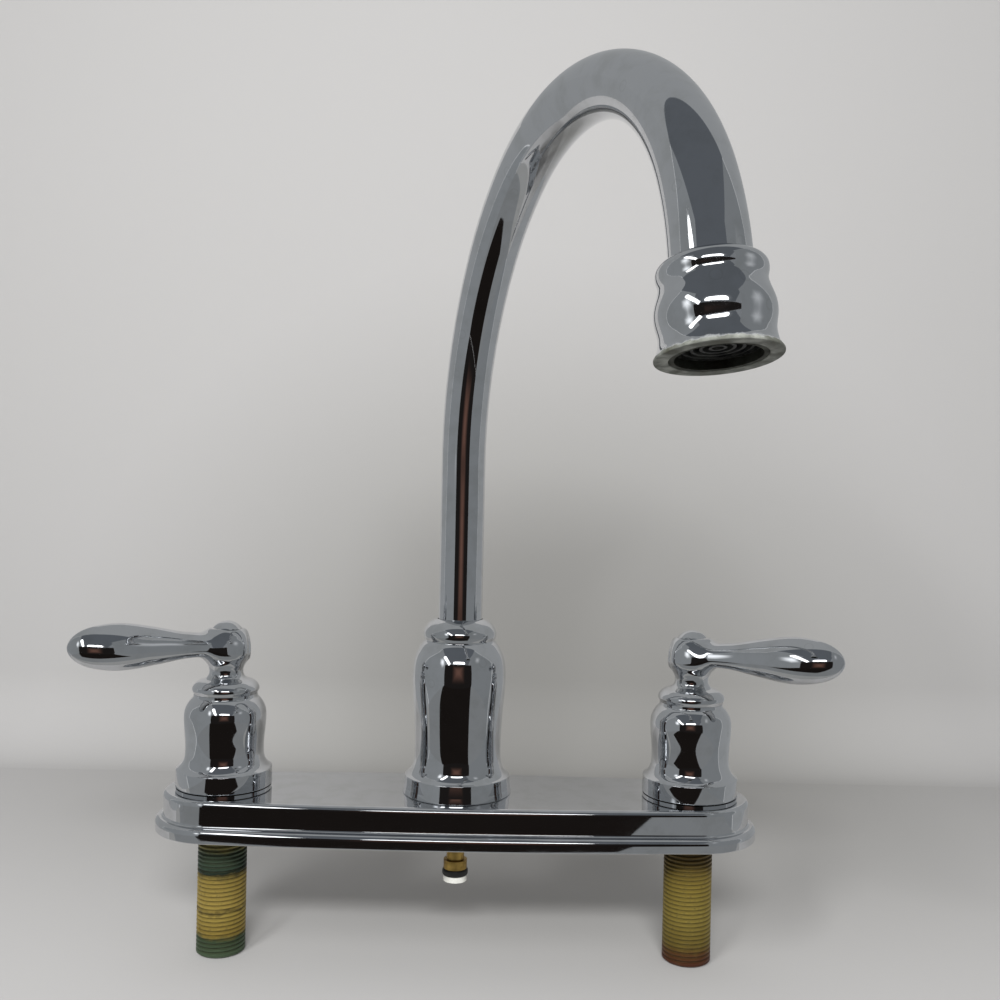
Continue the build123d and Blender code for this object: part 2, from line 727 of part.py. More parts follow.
bell_land_bottom = post_top - spout_bell_land
with BuildPart() as spout_bell:
    with BuildSketch(upright(0)):
        with BuildLine():
            foot_edge = (spout_bell_foot_radius, plate_height)
            foot_top = (spout_bell_foot_top_radius, plate_height + spout_bell_foot_height)
            cove = (spout_bell_cove_radius, plate_height + spout_bell_cove_height)
            waist = (spout_bell_waist_radius, plate_height + spout_bell_waist_height)
            swell = (spout_bell_swell_radius, plate_height + spout_bell_swell_height)
            shoulder = (spout_bell_shoulder_radius, plate_height + spout_bell_shoulder_height)
            groove = (spout_bell_groove_radius, plate_height + spout_bell_groove_height)
            collar = (spout_bell_collar_radius, plate_height + spout_bell_collar_height)
            crown = (spout_bell_crown_radius, plate_height + spout_bell_crown_height)
            mouth = (tube_radius + loose_gap, spout_bell_top)
            Polyline((0, plate_height), foot_edge, foot_top)
            Spline(foot_top, cove, waist, tangents=((-0.3, 1), (0, 1)))
            Spline(waist, swell, shoulder, groove, tangents=((0, 1), (-0.75, 1)))
            Spline(groove, collar, crown, mouth, tangents=((0.4, 1), (-1, 0.25)))
            Polyline(mouth, (0, spout_bell_top), (0, plate_height))
        make_face()
    revolve(axis=Axis.Z)
    with BuildSketch(upright(0)):
        with BuildLine():
            wide = spout_bell_foot_top_radius - bell_wall
            narrow = spout_bell_waist_radius - bell_wall
            foot_bore = (wide, plate_height)
            cove_low = (wide, plate_height + spout_bell_foot_height - bell_wall)
            cove_high = (narrow, plate_height + spout_bell_cove_height)
            bore_top = (narrow, bell_land_bottom)
            Polyline((0, plate_height), foot_bore, cove_low, cove_high, bore_top)
            Polyline(bore_top, (0, bell_land_bottom), (0, plate_height))
        make_face()
    revolve(axis=Axis.Z, mode=Mode.SUBTRACT)
    with BuildSketch(Plane.XY.offset(bell_land_bottom)):
        Circle(post_radius + fixed_fit)
    extrude(amount=bushing_top - bell_land_bottom, mode=Mode.SUBTRACT)
    with BuildSketch(Plane.XY.offset(bushing_top)):
        Circle(tube_radius + loose_gap)
    extrude(amount=spout_bell_lip, mode=Mode.SUBTRACT)
save(spout_bell, "spout_bell")

washer = ring(0, post_top, thrust_washer_thickness, insert_flange_radius, post_bore_radius)
save(washer, "spout_thrust_washer")

bushing_length = bushing_top - bushing_bottom
bushing = ring(0, bushing_bottom, bushing_length, bushing_radius, tube_radius + running_fit)
save(bushing, "spout_bushing")

# ================================================================== spray nipple
collar_top = -nipple_drop
ring_top = collar_top - nipple_collar_length
nose_top = ring_top - nipple_ring_length
nose_bottom = nose_top - nipple_nose_length
thread_top = nipple_thread_length - center_boss_drop
nipple_points = [(nipple_bore_radius, nose_top), (nipple_core_radius, nose_top)]
nipple_points += [(nipple_core_radius, ring_top), (nipple_collar_radius, ring_top), (nipple_collar_radius, collar_top)]
nipple_points += [(nipple_radius, collar_top), (nipple_radius, -center_boss_drop)]
nipple_points += [(nipple_thread_radius, -center_boss_drop), (nipple_thread_radius, thread_top)]
nipple_points += [(nipple_bore_radius, thread_top)]
save(turn(upright(0), Axis.Z, nipple_points), "spray_nipple")

with BuildPart() as spray_nipple_o_ring:
    with BuildSketch(Plane.XY.offset(nose_top)):
        Circle(nipple_ring_radius)
    extrude(amount=nipple_ring_length)
    fillet(spray_nipple_o_ring.edges(), nipple_ring_round)
    with BuildSketch(Plane.XY.offset(nose_top)):
        Circle(nipple_core_radius + fixed_fit)
    extrude(amount=nipple_ring_length, mode=Mode.SUBTRACT)
save(spray_nipple_o_ring, "spray_nipple_o_ring")

nose = ring(0, nose_bottom, nipple_nose_length, nipple_nose_radius, nipple_bore_radius)
save(nose, "spray_nipple_nose")

# ================================================================== spout tube
turn_angle = math.radians(spout_turn)
spout_side = (-math.cos(turn_angle), -math.sin(turn_angle), 0)
spout_forward = (math.sin(turn_angle), -math.cos(turn_angle), 0)
spout_plane = Plane(origin=(0, 0, 0), x_dir=spout_forward, z_dir=spout_side)

arch_bends = (
    (rise_bend_radius, rise_bend_angle),
    (shoulder_bend_radius, shoulder_bend_angle),
    (crown_bend_radius, crown_bend_angle),
    (fall_bend_radius, fall_bend_angle),
)
with BuildLine(spout_plane) as spout_path:
    riser = Line((0, spout_bell_top), (0, riser_top))
    stretch = riser
    for bend_radius, bend_angle in arch_bends:
        stretch = JernArc(start=stretch @ 1, tangent=stretch % 1, radius=bend_radius, arc_size=-bend_angle)
    tail_end = (stretch @ 1) + (stretch % 1) * tube_tail
    Line(stretch @ 1, tail_end)
path_wire = spout_path.wire()
outlet_direction = path_wire % 1
tube_path_length = path_wire.length


def tube_section(distance, radius):
    """Circle of the given radius square to the spout's path, at a distance along it."""
    share = distance / tube_path_length
    place = Plane(origin=path_wire @ share, x_dir=spout_side, z_dir=path_wire % share)
    with BuildSketch(place) as section:
        Circle(radius)
    return section.sketch


def tube_radius_at(distance):
    """Outer radius of the spout, which grows gently towards the outlet."""
    share = distance / tube_path_length
    return tube_radius + (tube_end_radius - tube_radius) * share**tube_growth


section_count = math.ceil(tube_path_length / tube_section_spacing)
stations = [tube_path_length * number / section_count for number in range(section_count + 1)]
outlet_end = Plane(origin=tail_end, x_dir=spout_side, z_dir=outlet_direction)
with BuildPart() as spout_tube:
    loft([tube_section(station, tube_radius_at(station)) for station in stations])
    with BuildSketch(Plane.XY.offset(tube_bottom)):
        Circle(tube_radius)
    extrude(amount=spout_bell_top - tube_bottom)
    with BuildSketch(outlet_end):
        Circle(tube_end_radius)
    extrude(amount=tube_tuck)
    loft(
        [tube_section(station, tube_radius_at(station) - tube_wall) for station in stations],
        mode=Mode.SUBTRACT,
    )
    with BuildSketch(Plane.XY.offset(tube_bottom)):
        Circle(tube_radius - tube_wall)
    extrude(amount=spout_bell_top - tube_bottom, mode=Mode.SUBTRACT)
    with BuildSketch(outlet_end):
        Circle(tube_end_radius - tube_wall)
    extrude(amount=tube_tuck, mode=Mode.SUBTRACT)
save(spout_tube, "spout_tube")

# ================================================================== swivel joint of the spout
insert_bottom = insert_flange_z - insert_depth
insert_foot_radius = post_bore_radius - running_fit
insert_top = tube_bottom + insert_tube_length
seal_seat_radius = post_bore_radius - running_fit - seal_section
insert_points = [(insert_bore_radius, insert_bottom), (insert_foot_radius, insert_bottom)]
for seal_depth in (lower_seal_depth, upper_seal_depth):
    half_groove = seal_section / 2 + fixed_fit
    groove_middle = insert_flange_z - seal_depth
    insert_points += [(insert_foot_radius, groove_middle - half_groove)]
    insert_points += [(seal_seat_radius, groove_middle - half_groove)]
    insert_points += [(seal_seat_radius, groove_middle + half_groove)]
    insert_points += [(insert_foot_radius, groove_middle + half_groove)]
insert_points += [(insert_foot_radius, insert_flange_z), (insert_flange_radius, insert_flange_z)]
insert_points += [(insert_flange_radius, tube_bottom)]
insert_points += [(tube_radius - tube_wall - fixed_fit, tube_bottom)]
insert_points += [(tube_radius - tube_wall - fixed_fit, insert_top), (insert_bore_radius, insert_top)]
save(turn(upright(0), Axis.Z, insert_points), "spout_insert")

with BuildPart() as spout_o_rings:
    with BuildSketch(upright(0)):
        for seal_depth in (upper_seal_depth, lower_seal_depth):
            with Locations((seal_seat_radius + seal_section / 2, insert_flange_z - seal_depth)):
                Circle(seal_section / 2)
    revolve(axis=Axis.Z)
save(spout_o_rings, "spout_o_rings")

# ================================================================== outlet bell and aerator
outlet_axis = Axis(tail_end, outlet_direction)
outlet_plane = Plane(origin=tail_end, x_dir=spout_side, z_dir=Vector(*spout_side).cross(outlet_direction))
washer_start = tube_tuck + outlet_neck_length
screen_start = washer_start + aerator_washer_thickness
insert_start = screen_start + screen_thickness
aerator_end = outlet_length - aerator_recess
insert_end = aerator_end - aerator_lip_length
housing_radius = aerator_radius - fixed_fit
cup_radius = housing_radius - aerator_wall

with BuildPart() as outlet_bell:
    with BuildSketch(outlet_plane):
        with BuildLine():
            start = (tube_end_radius + fixed_fit, 0)
            bead = (outlet_bead_radius, outlet_bead_length)
            groove = (outlet_groove_radius, outlet_groove_length)
            bulb = (outlet_bulb_radius, outlet_bulb_length)
            waist = (outlet_waist_radius, outlet_waist_length)
            lip = (outlet_lip_radius, outlet_lip_length)
            edge = (outlet_edge_radius, outlet_length)
            Spline(start, bead, groove, tangents=((1, 0.4), (-0.8, 1)))
            Spline(groove, bulb, waist, lip, tangents=((0.8, 1), (0.3, 1)))
            Line(lip, edge)
            Polyline(edge, (aerator_radius, outlet_length), (aerator_radius, washer_start))
            Polyline((aerator_radius, washer_start), (outlet_neck_radius, washer_start))
            Polyline((outlet_neck_radius, washer_start), (outlet_neck_radius, tube_tuck))
            Polyline((outlet_neck_radius, tube_tuck), (tube_end_radius + fixed_fit, tube_tuck), start)
        make_face()
    revolve(axis=outlet_axis)
save(outlet_bell, "outlet_bell")

washer_radius = aerator_radius - fixed_fit
washer_points = [(aerator_washer_hole, washer_start), (washer_radius, washer_start)]
washer_points += [(washer_radius, screen_start), (aerator_washer_hole, screen_start)]
save(turn(outlet_plane, outlet_axis, washer_points), "aerator_washer")

housing_points = [(cup_radius, screen_start), (housing_radius, screen_start)]
housing_points += [(housing_radius, aerator_end), (aerator_mouth_radius, aerator_end)]
housing_points += [(aerator_mouth_radius, insert_end), (cup_radius, insert_end)]
save(turn(outlet_plane, outlet_axis, housing_points), "aerator_housing")

screen_end = outlet_end.offset(screen_start)
core_radius = cup_radius - fixed_fit
ring_step = core_radius / (screen_rings + 1)
with BuildPart() as aerator_screen:
    with BuildSketch(screen_end):
        Circle(core_radius)
        for number in range(1, screen_rings + 1):
            with PolarLocations(number * ring_step, number * screen_ring_holes):
                Circle(screen_hole_radius, mode=Mode.SUBTRACT)
    extrude(amount=screen_thickness)
save(aerator_screen, "aerator_screen")

jet_floor = insert_end - jet_ring_depth
jet_step = core_radius / (jet_ring_count + 1)
with BuildPart() as aerator_insert:
    with BuildSketch(outlet_end.offset(insert_start)):
        Circle(core_radius)
        with PolarLocations(jet_step * jet_ring_count, jet_hole_count):
            Circle(jet_hole_radius, mode=Mode.SUBTRACT)
        with PolarLocations(jet_step * (jet_ring_count - 2), jet_hole_count // 2):
            Circle(jet_hole_radius, mode=Mode.SUBTRACT)
    extrude(amount=jet_floor - insert_start)
    with BuildSketch(outlet_end.offset(jet_floor)):
        for number in range(jet_ring_count + 1, 0, -1):
            Circle(jet_step * number)
            Circle(jet_step * number - jet_ring_wall, mode=Mode.SUBTRACT)
    extrude(amount=jet_ring_depth)
save(aerator_insert, "aerator_insert")
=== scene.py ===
import logging
import math
from dataclasses import dataclass, field
from enum import Enum, IntEnum

import bmesh
import bpy
import numpy as np
from mathutils import Matrix, Vector


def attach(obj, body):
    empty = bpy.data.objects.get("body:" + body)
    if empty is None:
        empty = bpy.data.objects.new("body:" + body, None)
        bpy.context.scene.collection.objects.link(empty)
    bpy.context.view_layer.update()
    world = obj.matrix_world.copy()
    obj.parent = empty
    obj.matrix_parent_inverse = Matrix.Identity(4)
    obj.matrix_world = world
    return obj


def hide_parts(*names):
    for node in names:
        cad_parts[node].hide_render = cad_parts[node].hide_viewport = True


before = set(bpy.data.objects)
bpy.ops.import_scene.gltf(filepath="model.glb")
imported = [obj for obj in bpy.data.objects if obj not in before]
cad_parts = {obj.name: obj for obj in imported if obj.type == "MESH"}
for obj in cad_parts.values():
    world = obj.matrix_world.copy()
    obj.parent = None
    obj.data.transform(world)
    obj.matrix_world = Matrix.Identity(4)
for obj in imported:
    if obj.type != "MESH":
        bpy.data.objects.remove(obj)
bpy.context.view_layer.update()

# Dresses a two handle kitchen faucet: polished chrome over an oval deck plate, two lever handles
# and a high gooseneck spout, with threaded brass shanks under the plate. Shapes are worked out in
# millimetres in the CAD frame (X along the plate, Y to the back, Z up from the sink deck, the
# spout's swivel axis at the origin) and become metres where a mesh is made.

log = logging.getLogger("faucet")

MM = 0.001  # metres in a millimetre
HANDLE_X = 101.6  # half of the 8 in between the handle axes
PLATE_TOP = 16.7
SPOUT_TURN = 25.0  # degrees the spout points to the right of straight ahead
SHARP_ANGLE = 38.0  # degrees between faces; an edge stays crisp where they meet at more
SAME_POINT = 1e-3  # mm; points of a line closer than this count as one
ON_AXIS = 1e-6  # mm; a profile that ends closer to its axis than this is closed there
NO_TURN = 1e-6  # radians; a smaller turn of a line counts as none
HAIR = 0.02  # mm that keeps two rows of points or two surfaces apart
WELD_DISTANCE = 2e-7  # metres; grid points closer than this are welded, as at poles

Point = tuple[float, float, float]  # X, Y and Z
Corner = tuple[float, float, float]  # place in a section, and the radius of its rounding
Knots = tuple[tuple[float, float], ...]  # places that a curve or an edge passes, in order


class Side(Enum):
    """The two handles: the name each has in the CAD and its way from the middle along X."""

    HOT = ("hot", -1.0)
    COLD = ("cold", 1.0)

    @property
    def prefix(self) -> str:
        """Start of the names of this side's CAD nodes."""
        return self.value[0]

    @property
    def direction(self) -> float:
        """Minus one on the left, plus one on the right."""
        return self.value[1]

    @property
    def axis_x(self) -> float:
        """X of the handle's vertical axis, in millimetres."""
        return self.direction * HANDLE_X


# ---------------------------------------------------------------- curves as arrays of points
def smooth_curve(
    knots: Knots,
    start: tuple[float, float] | None = None,
    end: tuple[float, float] | None = None,
    step: float = 0.4,
) -> np.ndarray:
    """Cubic spline through knots, with continuous slope and curvature.

    Formula: the parameter is the length of the chords from knot to knot. The slopes at the knots
    solve one linear system in which neighbouring cubics share their second derivative. A given end
    direction fixes that end's slope at unit length, and a free end has no curvature.

    Args:
        knots: points to pass through, in order.
        start: direction at the first knot, or None for a free end.
        end: direction at the last knot, or None for a free end.
        step: longest distance between the points that come back.

    Returns:
        Points along the curve, one row each.
    """
    points = np.array(knots, float)
    spans = np.linalg.norm(np.diff(points, axis=0), axis=1)
    stations = np.concatenate([[0.0], np.cumsum(spans)])
    rises = np.diff(points, axis=0) / spans[:, None]
    count = len(points)
    system = np.zeros((count, count))
    wanted = np.zeros((count, 2))
    inner = np.arange(1, count - 1)
    share = spans[1:] / (spans[:-1] + spans[1:])
    system[inner, inner - 1] = share
    system[inner, inner] = 2.0
    system[inner, inner + 1] = 1.0 - share
    wanted[inner] = 3.0 * (share[:, None] * rises[:-1] + (1.0 - share)[:, None] * rises[1:])
    for row, neighbour, rise, direction in ((0, 1, rises[0], start), (-1, -2, rises[-1], end)):
        if direction is None:
            system[row, row], system[row, neighbour] = 2.0, 1.0
            wanted[row] = 3.0 * rise
        else:
            system[row, row] = 1.0
            wanted[row] = np.array(direction, float) / np.linalg.norm(direction)
    slopes = np.linalg.solve(system, wanted)
    samples = np.unique(np.concatenate([
        stations, np.linspace(0.0, stations[-1], max(2, int(stations[-1] / step) + 1))]))
    place = np.clip(np.searchsorted(stations, samples, side="right") - 1, 0, count - 2)
    span = spans[place][:, None]
    u = ((samples - stations[place]) / spans[place])[:, None]
    return ((2 * u**3 - 3 * u**2 + 1) * points[place] + (u**3 - 2 * u**2 + u) * span * slopes[place]
            + (3 * u**2 - 2 * u**3) * points[place + 1] + (u**3 - u**2) * span * slopes[place + 1])


def rounded(corners: list[Corner], samples: int = 7) -> np.ndarray:
    """Open line of straight runs whose corners are rounded.

    Formula: each corner gives way to the arc that touches both of its runs. The arc's centre lies
    on the bisector at radius over the sine of the half angle, and the arc turns from one touching
    point to the other by spherical interpolation.

    Args:
        corners: points with the radius of the rounding at each, 0 for a sharp corner.
        samples: points along each arc.

    Returns:
        Points along the line, one row each, with no point twice in a row.
    """
    table = np.array(corners, float)
    points, radii = table[:, :2], table[1:-1, 2]
    back = points[:-2] - points[1:-1]
    ahead = points[2:] - points[1:-1]
    back /= np.linalg.norm(back, axis=1)[:, None]
    ahead /= np.linalg.norm(ahead, axis=1)[:, None]
    half = 0.5 * np.arccos(np.clip(np.sum(back * ahead, axis=1), -1.0, 1.0))
    bisector = back + ahead
    length = np.linalg.norm(bisector, axis=1)
    bisector /= np.where(length < NO_TURN, 1.0, length)[:, None]
    reach = (radii / np.tan(half))[:, None]
    centre = points[1:-1] + bisector * (radii / np.sin(half))[:, None]
    opening = np.maximum(math.pi - 2.0 * half, NO_TURN)[:, None, None]
    share = np.linspace(0.0, 1.0, samples)[None, :, None]
    from_back = (points[1:-1] + back * reach - centre)[:, None, :]
    to_ahead = (points[1:-1] + ahead * reach - centre)[:, None, :]
    turned = np.sin((1 - share) * opening) * from_back + np.sin(share * opening) * to_ahead
    arcs = centre[:, None, :] + turned / np.sin(opening)
    return joined(points[:1], arcs.reshape(-1, 2), points[-1:])


def joined(*parts: np.ndarray) -> np.ndarray:
    """One line from several, end to end, with points closer than a micrometre left out."""
    line = np.concatenate(parts)
    gaps = np.linalg.norm(np.diff(line, axis=0), axis=1)
    return line[np.concatenate([[True], gaps > SAME_POINT])]


@dataclass(frozen=True)
class Placement:
    """Where a turned piece stands: its origin and three unit directions, in millimetres."""

    origin: Point
    across: Point = (1.0, 0.0, 0.0)
    aside: Point = (0.0, 1.0, 0.0)
    along: Point = (0.0, 0.0, 1.0)

    def put(self, across: np.ndarray, aside: np.ndarray, along: np.ndarray) -> np.ndarray:
        """Points of the world for coordinates along the three directions."""
        return (np.array(self.origin) + across[..., None] * np.array(self.across)
                + aside[..., None] * np.array(self.aside) + along[..., None] * np.array(self.along))

    def matrix(self) -> Matrix:
        """Local coordinates to the world's, both in metres."""
        turned = Matrix((self.across, self.aside, self.along)).transposed().to_4x4()
        turned.translation = Vector(self.origin) * MM
        return turned


def upright(x: float) -> Placement:
    """Vertical axis at X, with heights from the sink deck."""
    return Placement((x, 0.0, 0.0))


def full_turn(columns: int) -> np.ndarray:
    """Angles once round in even steps, as one row."""
    return np.linspace(0.0, 2.0 * math.pi, columns, endpoint=False)[None, :]


def turned_grid(profile: np.ndarray, placement: Placement, columns: int) -> np.ndarray:
    """Surface of revolution: point = origin + radius (cos a, sin a) + height along the axis.

    Args:
        profile: rows of radius and height; both may also vary with the angle, as a third axis.
        placement: where the axis stands.
        columns: steps round the axis.

    Returns:
        Grid of points, profile by angle.
    """
    angle = full_turn(columns)
    radius = profile[:, 0].reshape(len(profile), -1)
    height = profile[:, 1].reshape(len(profile), -1)
    return placement.put(radius * np.cos(angle), radius * np.sin(angle), height + 0.0 * angle)


# ---------------------------------------------------------------- objects and meshes
def new_object(name: str, data: bpy.types.ID) -> bpy.types.Object:
    """A new object of the scene with the given mesh, light or camera."""
    made = bpy.data.objects.new(name, data)
    bpy.context.scene.collection.objects.link(made)
    return made


def grid_mesh(grid: np.ndarray, loop: bool, lids: bool = False) -> bpy.types.Mesh:
    """Closed mesh from a grid of points in millimetres whose columns go all the way round.

    Args:
        grid: rows by columns by three.
        loop: whether the last row joins the first, as round the wall of a shell.
        lids: whether the first and last rows are closed with one flat face each.

    Returns:
        Mesh in metres, welded at poles and seams, with its faces pointing outwards.
    """
    rows, columns = grid.shape[:2]
    number = np.arange(rows * columns).reshape(rows, columns)
    low = number if loop else number[:-1]
    high = np.roll(number, -1, axis=0) if loop else number[1:]
    quads = np.stack([low, np.roll(low, -1, axis=1), np.roll(high, -1, axis=1), high], axis=-1)
    faces = quads.reshape(-1, 4).tolist()
    if lids:
        faces += [number[0, ::-1].tolist(), number[-1].tolist()]
    mesh = bpy.data.meshes.new("grid")
    mesh.from_pydata((grid.reshape(-1, 3) * MM).tolist(), [], faces)
    shell = bmesh.new()
    shell.from_mesh(mesh)
    bmesh.ops.remove_doubles(shell, verts=shell.verts, dist=WELD_DISTANCE)
    if shell.calc_volume(signed=True) < 0.0:
        bmesh.ops.reverse_faces(shell, faces=shell.faces)
    shell.to_mesh(mesh)
    shell.free()
    return mesh


def turned_mesh(profile: np.ndarray, placement: Placement, columns: int = 160) -> bpy.types.Mesh:
    """Mesh of a turned piece; the profile is a closed section, or starts and ends on the axis."""
    on_axis = abs(profile[0, 0]) < ON_AXIS and abs(profile[-1, 0]) < ON_AXIS
    return grid_mesh(turned_grid(profile, placement, columns), loop=not on_axis)


def shade(mesh: bpy.types.Mesh, sharp_angle: float = SHARP_ANGLE) -> None:
    """Smooth shading with crisp edges where faces meet at more than sharp_angle degrees."""
    mesh.shade_smooth()
    mesh.set_sharp_from_angle(angle=math.radians(sharp_angle))


def cut_away(
    mesh: bpy.types.Mesh, cutters: list[bpy.types.Mesh], weigh_normals: bool = False
) -> bpy.types.Mesh:
    """The mesh with the space of the cutters taken out of it.

    Args:
        mesh: closed mesh to cut.
        cutters: closed meshes, each taken away in turn.
        weigh_normals: whether large flat faces set the shading at their borders.

    Returns:
        A new mesh; the ones given are removed.
    """
    body = new_object(mesh.name, mesh)
    tools = [new_object(cutter.name, cutter) for cutter in cutters]
    for tool in tools:
        cut = body.modifiers.new("cut", "BOOLEAN")
        cut.operation, cut.solver, cut.object = "DIFFERENCE", "EXACT", tool
    if weigh_normals:
        shade(mesh)
        body.modifiers.new("weigh", "WEIGHTED_NORMAL").keep_sharp = True
    bpy.context.view_layer.update()
    finished = body.evaluated_get(bpy.context.evaluated_depsgraph_get())
    result = bpy.data.meshes.new_from_object(finished)
    for used in [body, *tools]:
        data = used.data
        bpy.data.objects.remove(used)
        bpy.data.meshes.remove(data)
    return result


# ---------------------------------------------------------------- finishes
def linear(colour: str) -> tuple[float, float, float, float]:
    """Linear RGBA of an sRGB hex colour such as '#C8CACC'."""
    srgb = np.array([int(colour[place:place + 2], 16) for place in (1, 3, 5)]) / 255.0
    straight = np.where(srgb <= 0.04045, srgb / 12.92, ((srgb + 0.055) / 1.055) ** 2.4)
    return (*straight.tolist(), 1.0)


def per_mm(size: float) -> float:
    """Texture scale at which one blob or cell is about size millimetres across."""
    return 1.0 / (size * MM)


def add_node(
    tree: bpy.types.NodeTree,
    kind: str,
    inputs: dict[str | int, object] | None = None,
    output: str | int = 0,
    stops: tuple[tuple[float, str], ...] = (),
    **settings: object,
) -> bpy.types.NodeSocket:
    """Adds a shader node, sets it up and gives back one of its outputs.

    Args:
        tree: node tree to add to.
        kind: Blender's name of the node type, less its "ShaderNode".
        inputs: by socket name or number, a value, or an output socket to link.
        output: name or number of the output wanted.
        stops: position and sRGB hex colour of each stop, where the node has a colour ramp.
        settings: properties of the node itself.

    Returns:
        The output socket, or the node itself where it has no outputs.
    """
    node = tree.nodes.new("ShaderNode" + kind)
    for key, value in settings.items():
        setattr(node, key, value)
    for key, value in (inputs or {}).items():
        if isinstance(value, bpy.types.NodeSocket):
            tree.links.new(value, node.inputs[key])
        else:
            node.inputs[key].default_value = value
    for number, (position, colour) in enumerate(stops):
        elements = node.color_ramp.elements
        element = elements[number] if number < 2 else elements.new(position)
        element.position, element.color = position, linear(colour)
    return node.outputs[output] if node.outputs else node


def empty_tree(owner: bpy.types.Material | bpy.types.World) -> bpy.types.NodeTree:
    """The node tree of a material or world, switched on and cleared."""
    owner.use_nodes = True
    owner.node_tree.nodes.clear()
    return owner.node_tree


@dataclass(frozen=True)
class Finish:
    """A surface finish; each kind fills in surface()."""

    name: str

    def material(self) -> bpy.types.Material:
        """The finish as a Blender material, made once and shared after that."""
        made = bpy.data.materials.get(self.name)
        if made is None:
            made = bpy.data.materials.new(self.name)
            tree = empty_tree(made)
            place = add_node(tree, "TexCoord", output="Object")
            shader = add_node(tree, "BsdfPrincipled", self.surface(tree, place))
            add_node(tree, "OutputMaterial", {"Surface": shader})
        return made

    def surface(self, tree: bpy.types.NodeTree, place: bpy.types.NodeSocket) -> dict[str, object]:
        """Inputs of the shader, as values or sockets, for a place in Object coordinates."""
        raise NotImplementedError


@dataclass(frozen=True)
class PolishedChrome(Finish):
    """Decorative chromium plate on buffed metal, gone a little dull with use.

    The eye gets a blue-grey mirror with a faint film of dried water, small round drop marks, hair
    scratches from wiping and the slight waviness that buffing leaves in cast and drawn metal.
    """

    colour: str = "#CBCDD0"
    film_colour: str = "#B9BBBB"  # mirror seen through a thin film of dried hard water
    roughness: float = 0.03
    film_roughness: float = 0.10
    film_size: float = 9.0  # mm across a patch of film
    film_amount: float = 0.5
    wave_length: float = 14.0  # mm between the shallow swells that buffing leaves
    wave_height: float = 0.010  # mm
    film_noise: tuple[float, float] = (0.42, 0.72)  # noise at which the film begins and is whole
    drop_spacing: float = 12.0  # mm between dried drops
    drop_rim: float = 0.16  # radius of a drop's rim, in spacings
    drop_rim_width: float = 0.02
    drop_share: float = 0.5  # how much of the film's dullness a rim has
    scratch_width: float = 0.35  # mm; real hair scratches are ten times finer and wouldn't show
    scratch_stretch: float = 40.0  # how many times longer than wide, along Z
    scratch_noise: tuple[float, float] = (0.66, 0.74)
    scratch_share: float = 0.25

    def surface(self, tree: bpy.types.NodeTree, place: bpy.types.NodeSocket) -> dict[str, object]:
        """Full metal, whose colour and roughness follow film, drop rims and scratches."""
        patches = add_node(tree, "TexNoise", {
            "Vector": place, "Scale": per_mm(self.film_size), "Detail": 5.0, "Roughness": 0.55})
        film = add_node(tree, "MapRange", {
            "Value": patches, "From Min": self.film_noise[0], "From Max": self.film_noise[1]},
            interpolation_type="SMOOTHSTEP")
        drops = add_node(tree, "TexVoronoi", {"Vector": place, "Scale": per_mm(self.drop_spacing)},
                         "Distance")
        rims = add_node(tree, "Math", {0: drops, 1: self.drop_rim, 2: self.drop_rim_width},
                        operation="COMPARE")
        spotted = add_node(tree, "Math", {0: rims, 1: self.drop_share, 2: film},
                           operation="MULTIPLY_ADD")
        drawn = add_node(tree, "Mapping",
                         {"Vector": place, "Scale": (1.0, 1.0, 1.0 / self.scratch_stretch)})
        hairs = add_node(tree, "TexNoise", {
            "Vector": drawn, "Scale": per_mm(self.scratch_width), "Detail": 2.0, "Roughness": 0.55})
        scratches = add_node(tree, "MapRange", {
            "Value": hairs, "From Min": self.scratch_noise[0], "From Max": self.scratch_noise[1],
            "To Max": self.scratch_share}, interpolation_type="SMOOTHSTEP")
        marks = add_node(tree, "Math", {0: spotted, 1: scratches}, operation="ADD", use_clamp=True)
        amount = add_node(tree, "Math", {0: marks, 1: self.film_amount}, operation="MULTIPLY")
        swell = add_node(tree, "TexNoise",
                         {"Vector": place, "Scale": per_mm(self.wave_length), "Detail": 1.0})
        return {
            "Base Color": add_node(tree, "ValToRGB", {"Fac": amount},
                                   stops=((0.0, self.colour), (1.0, self.film_colour))),
            "Metallic": 1.0,
            "Roughness": add_node(tree, "MapRange", {
                "Value": amount, "To Min": self.roughness, "To Max": self.film_roughness}),
            "Normal": add_node(tree, "Bump", {"Distance": self.wave_height * MM, "Height": swell}),
        }


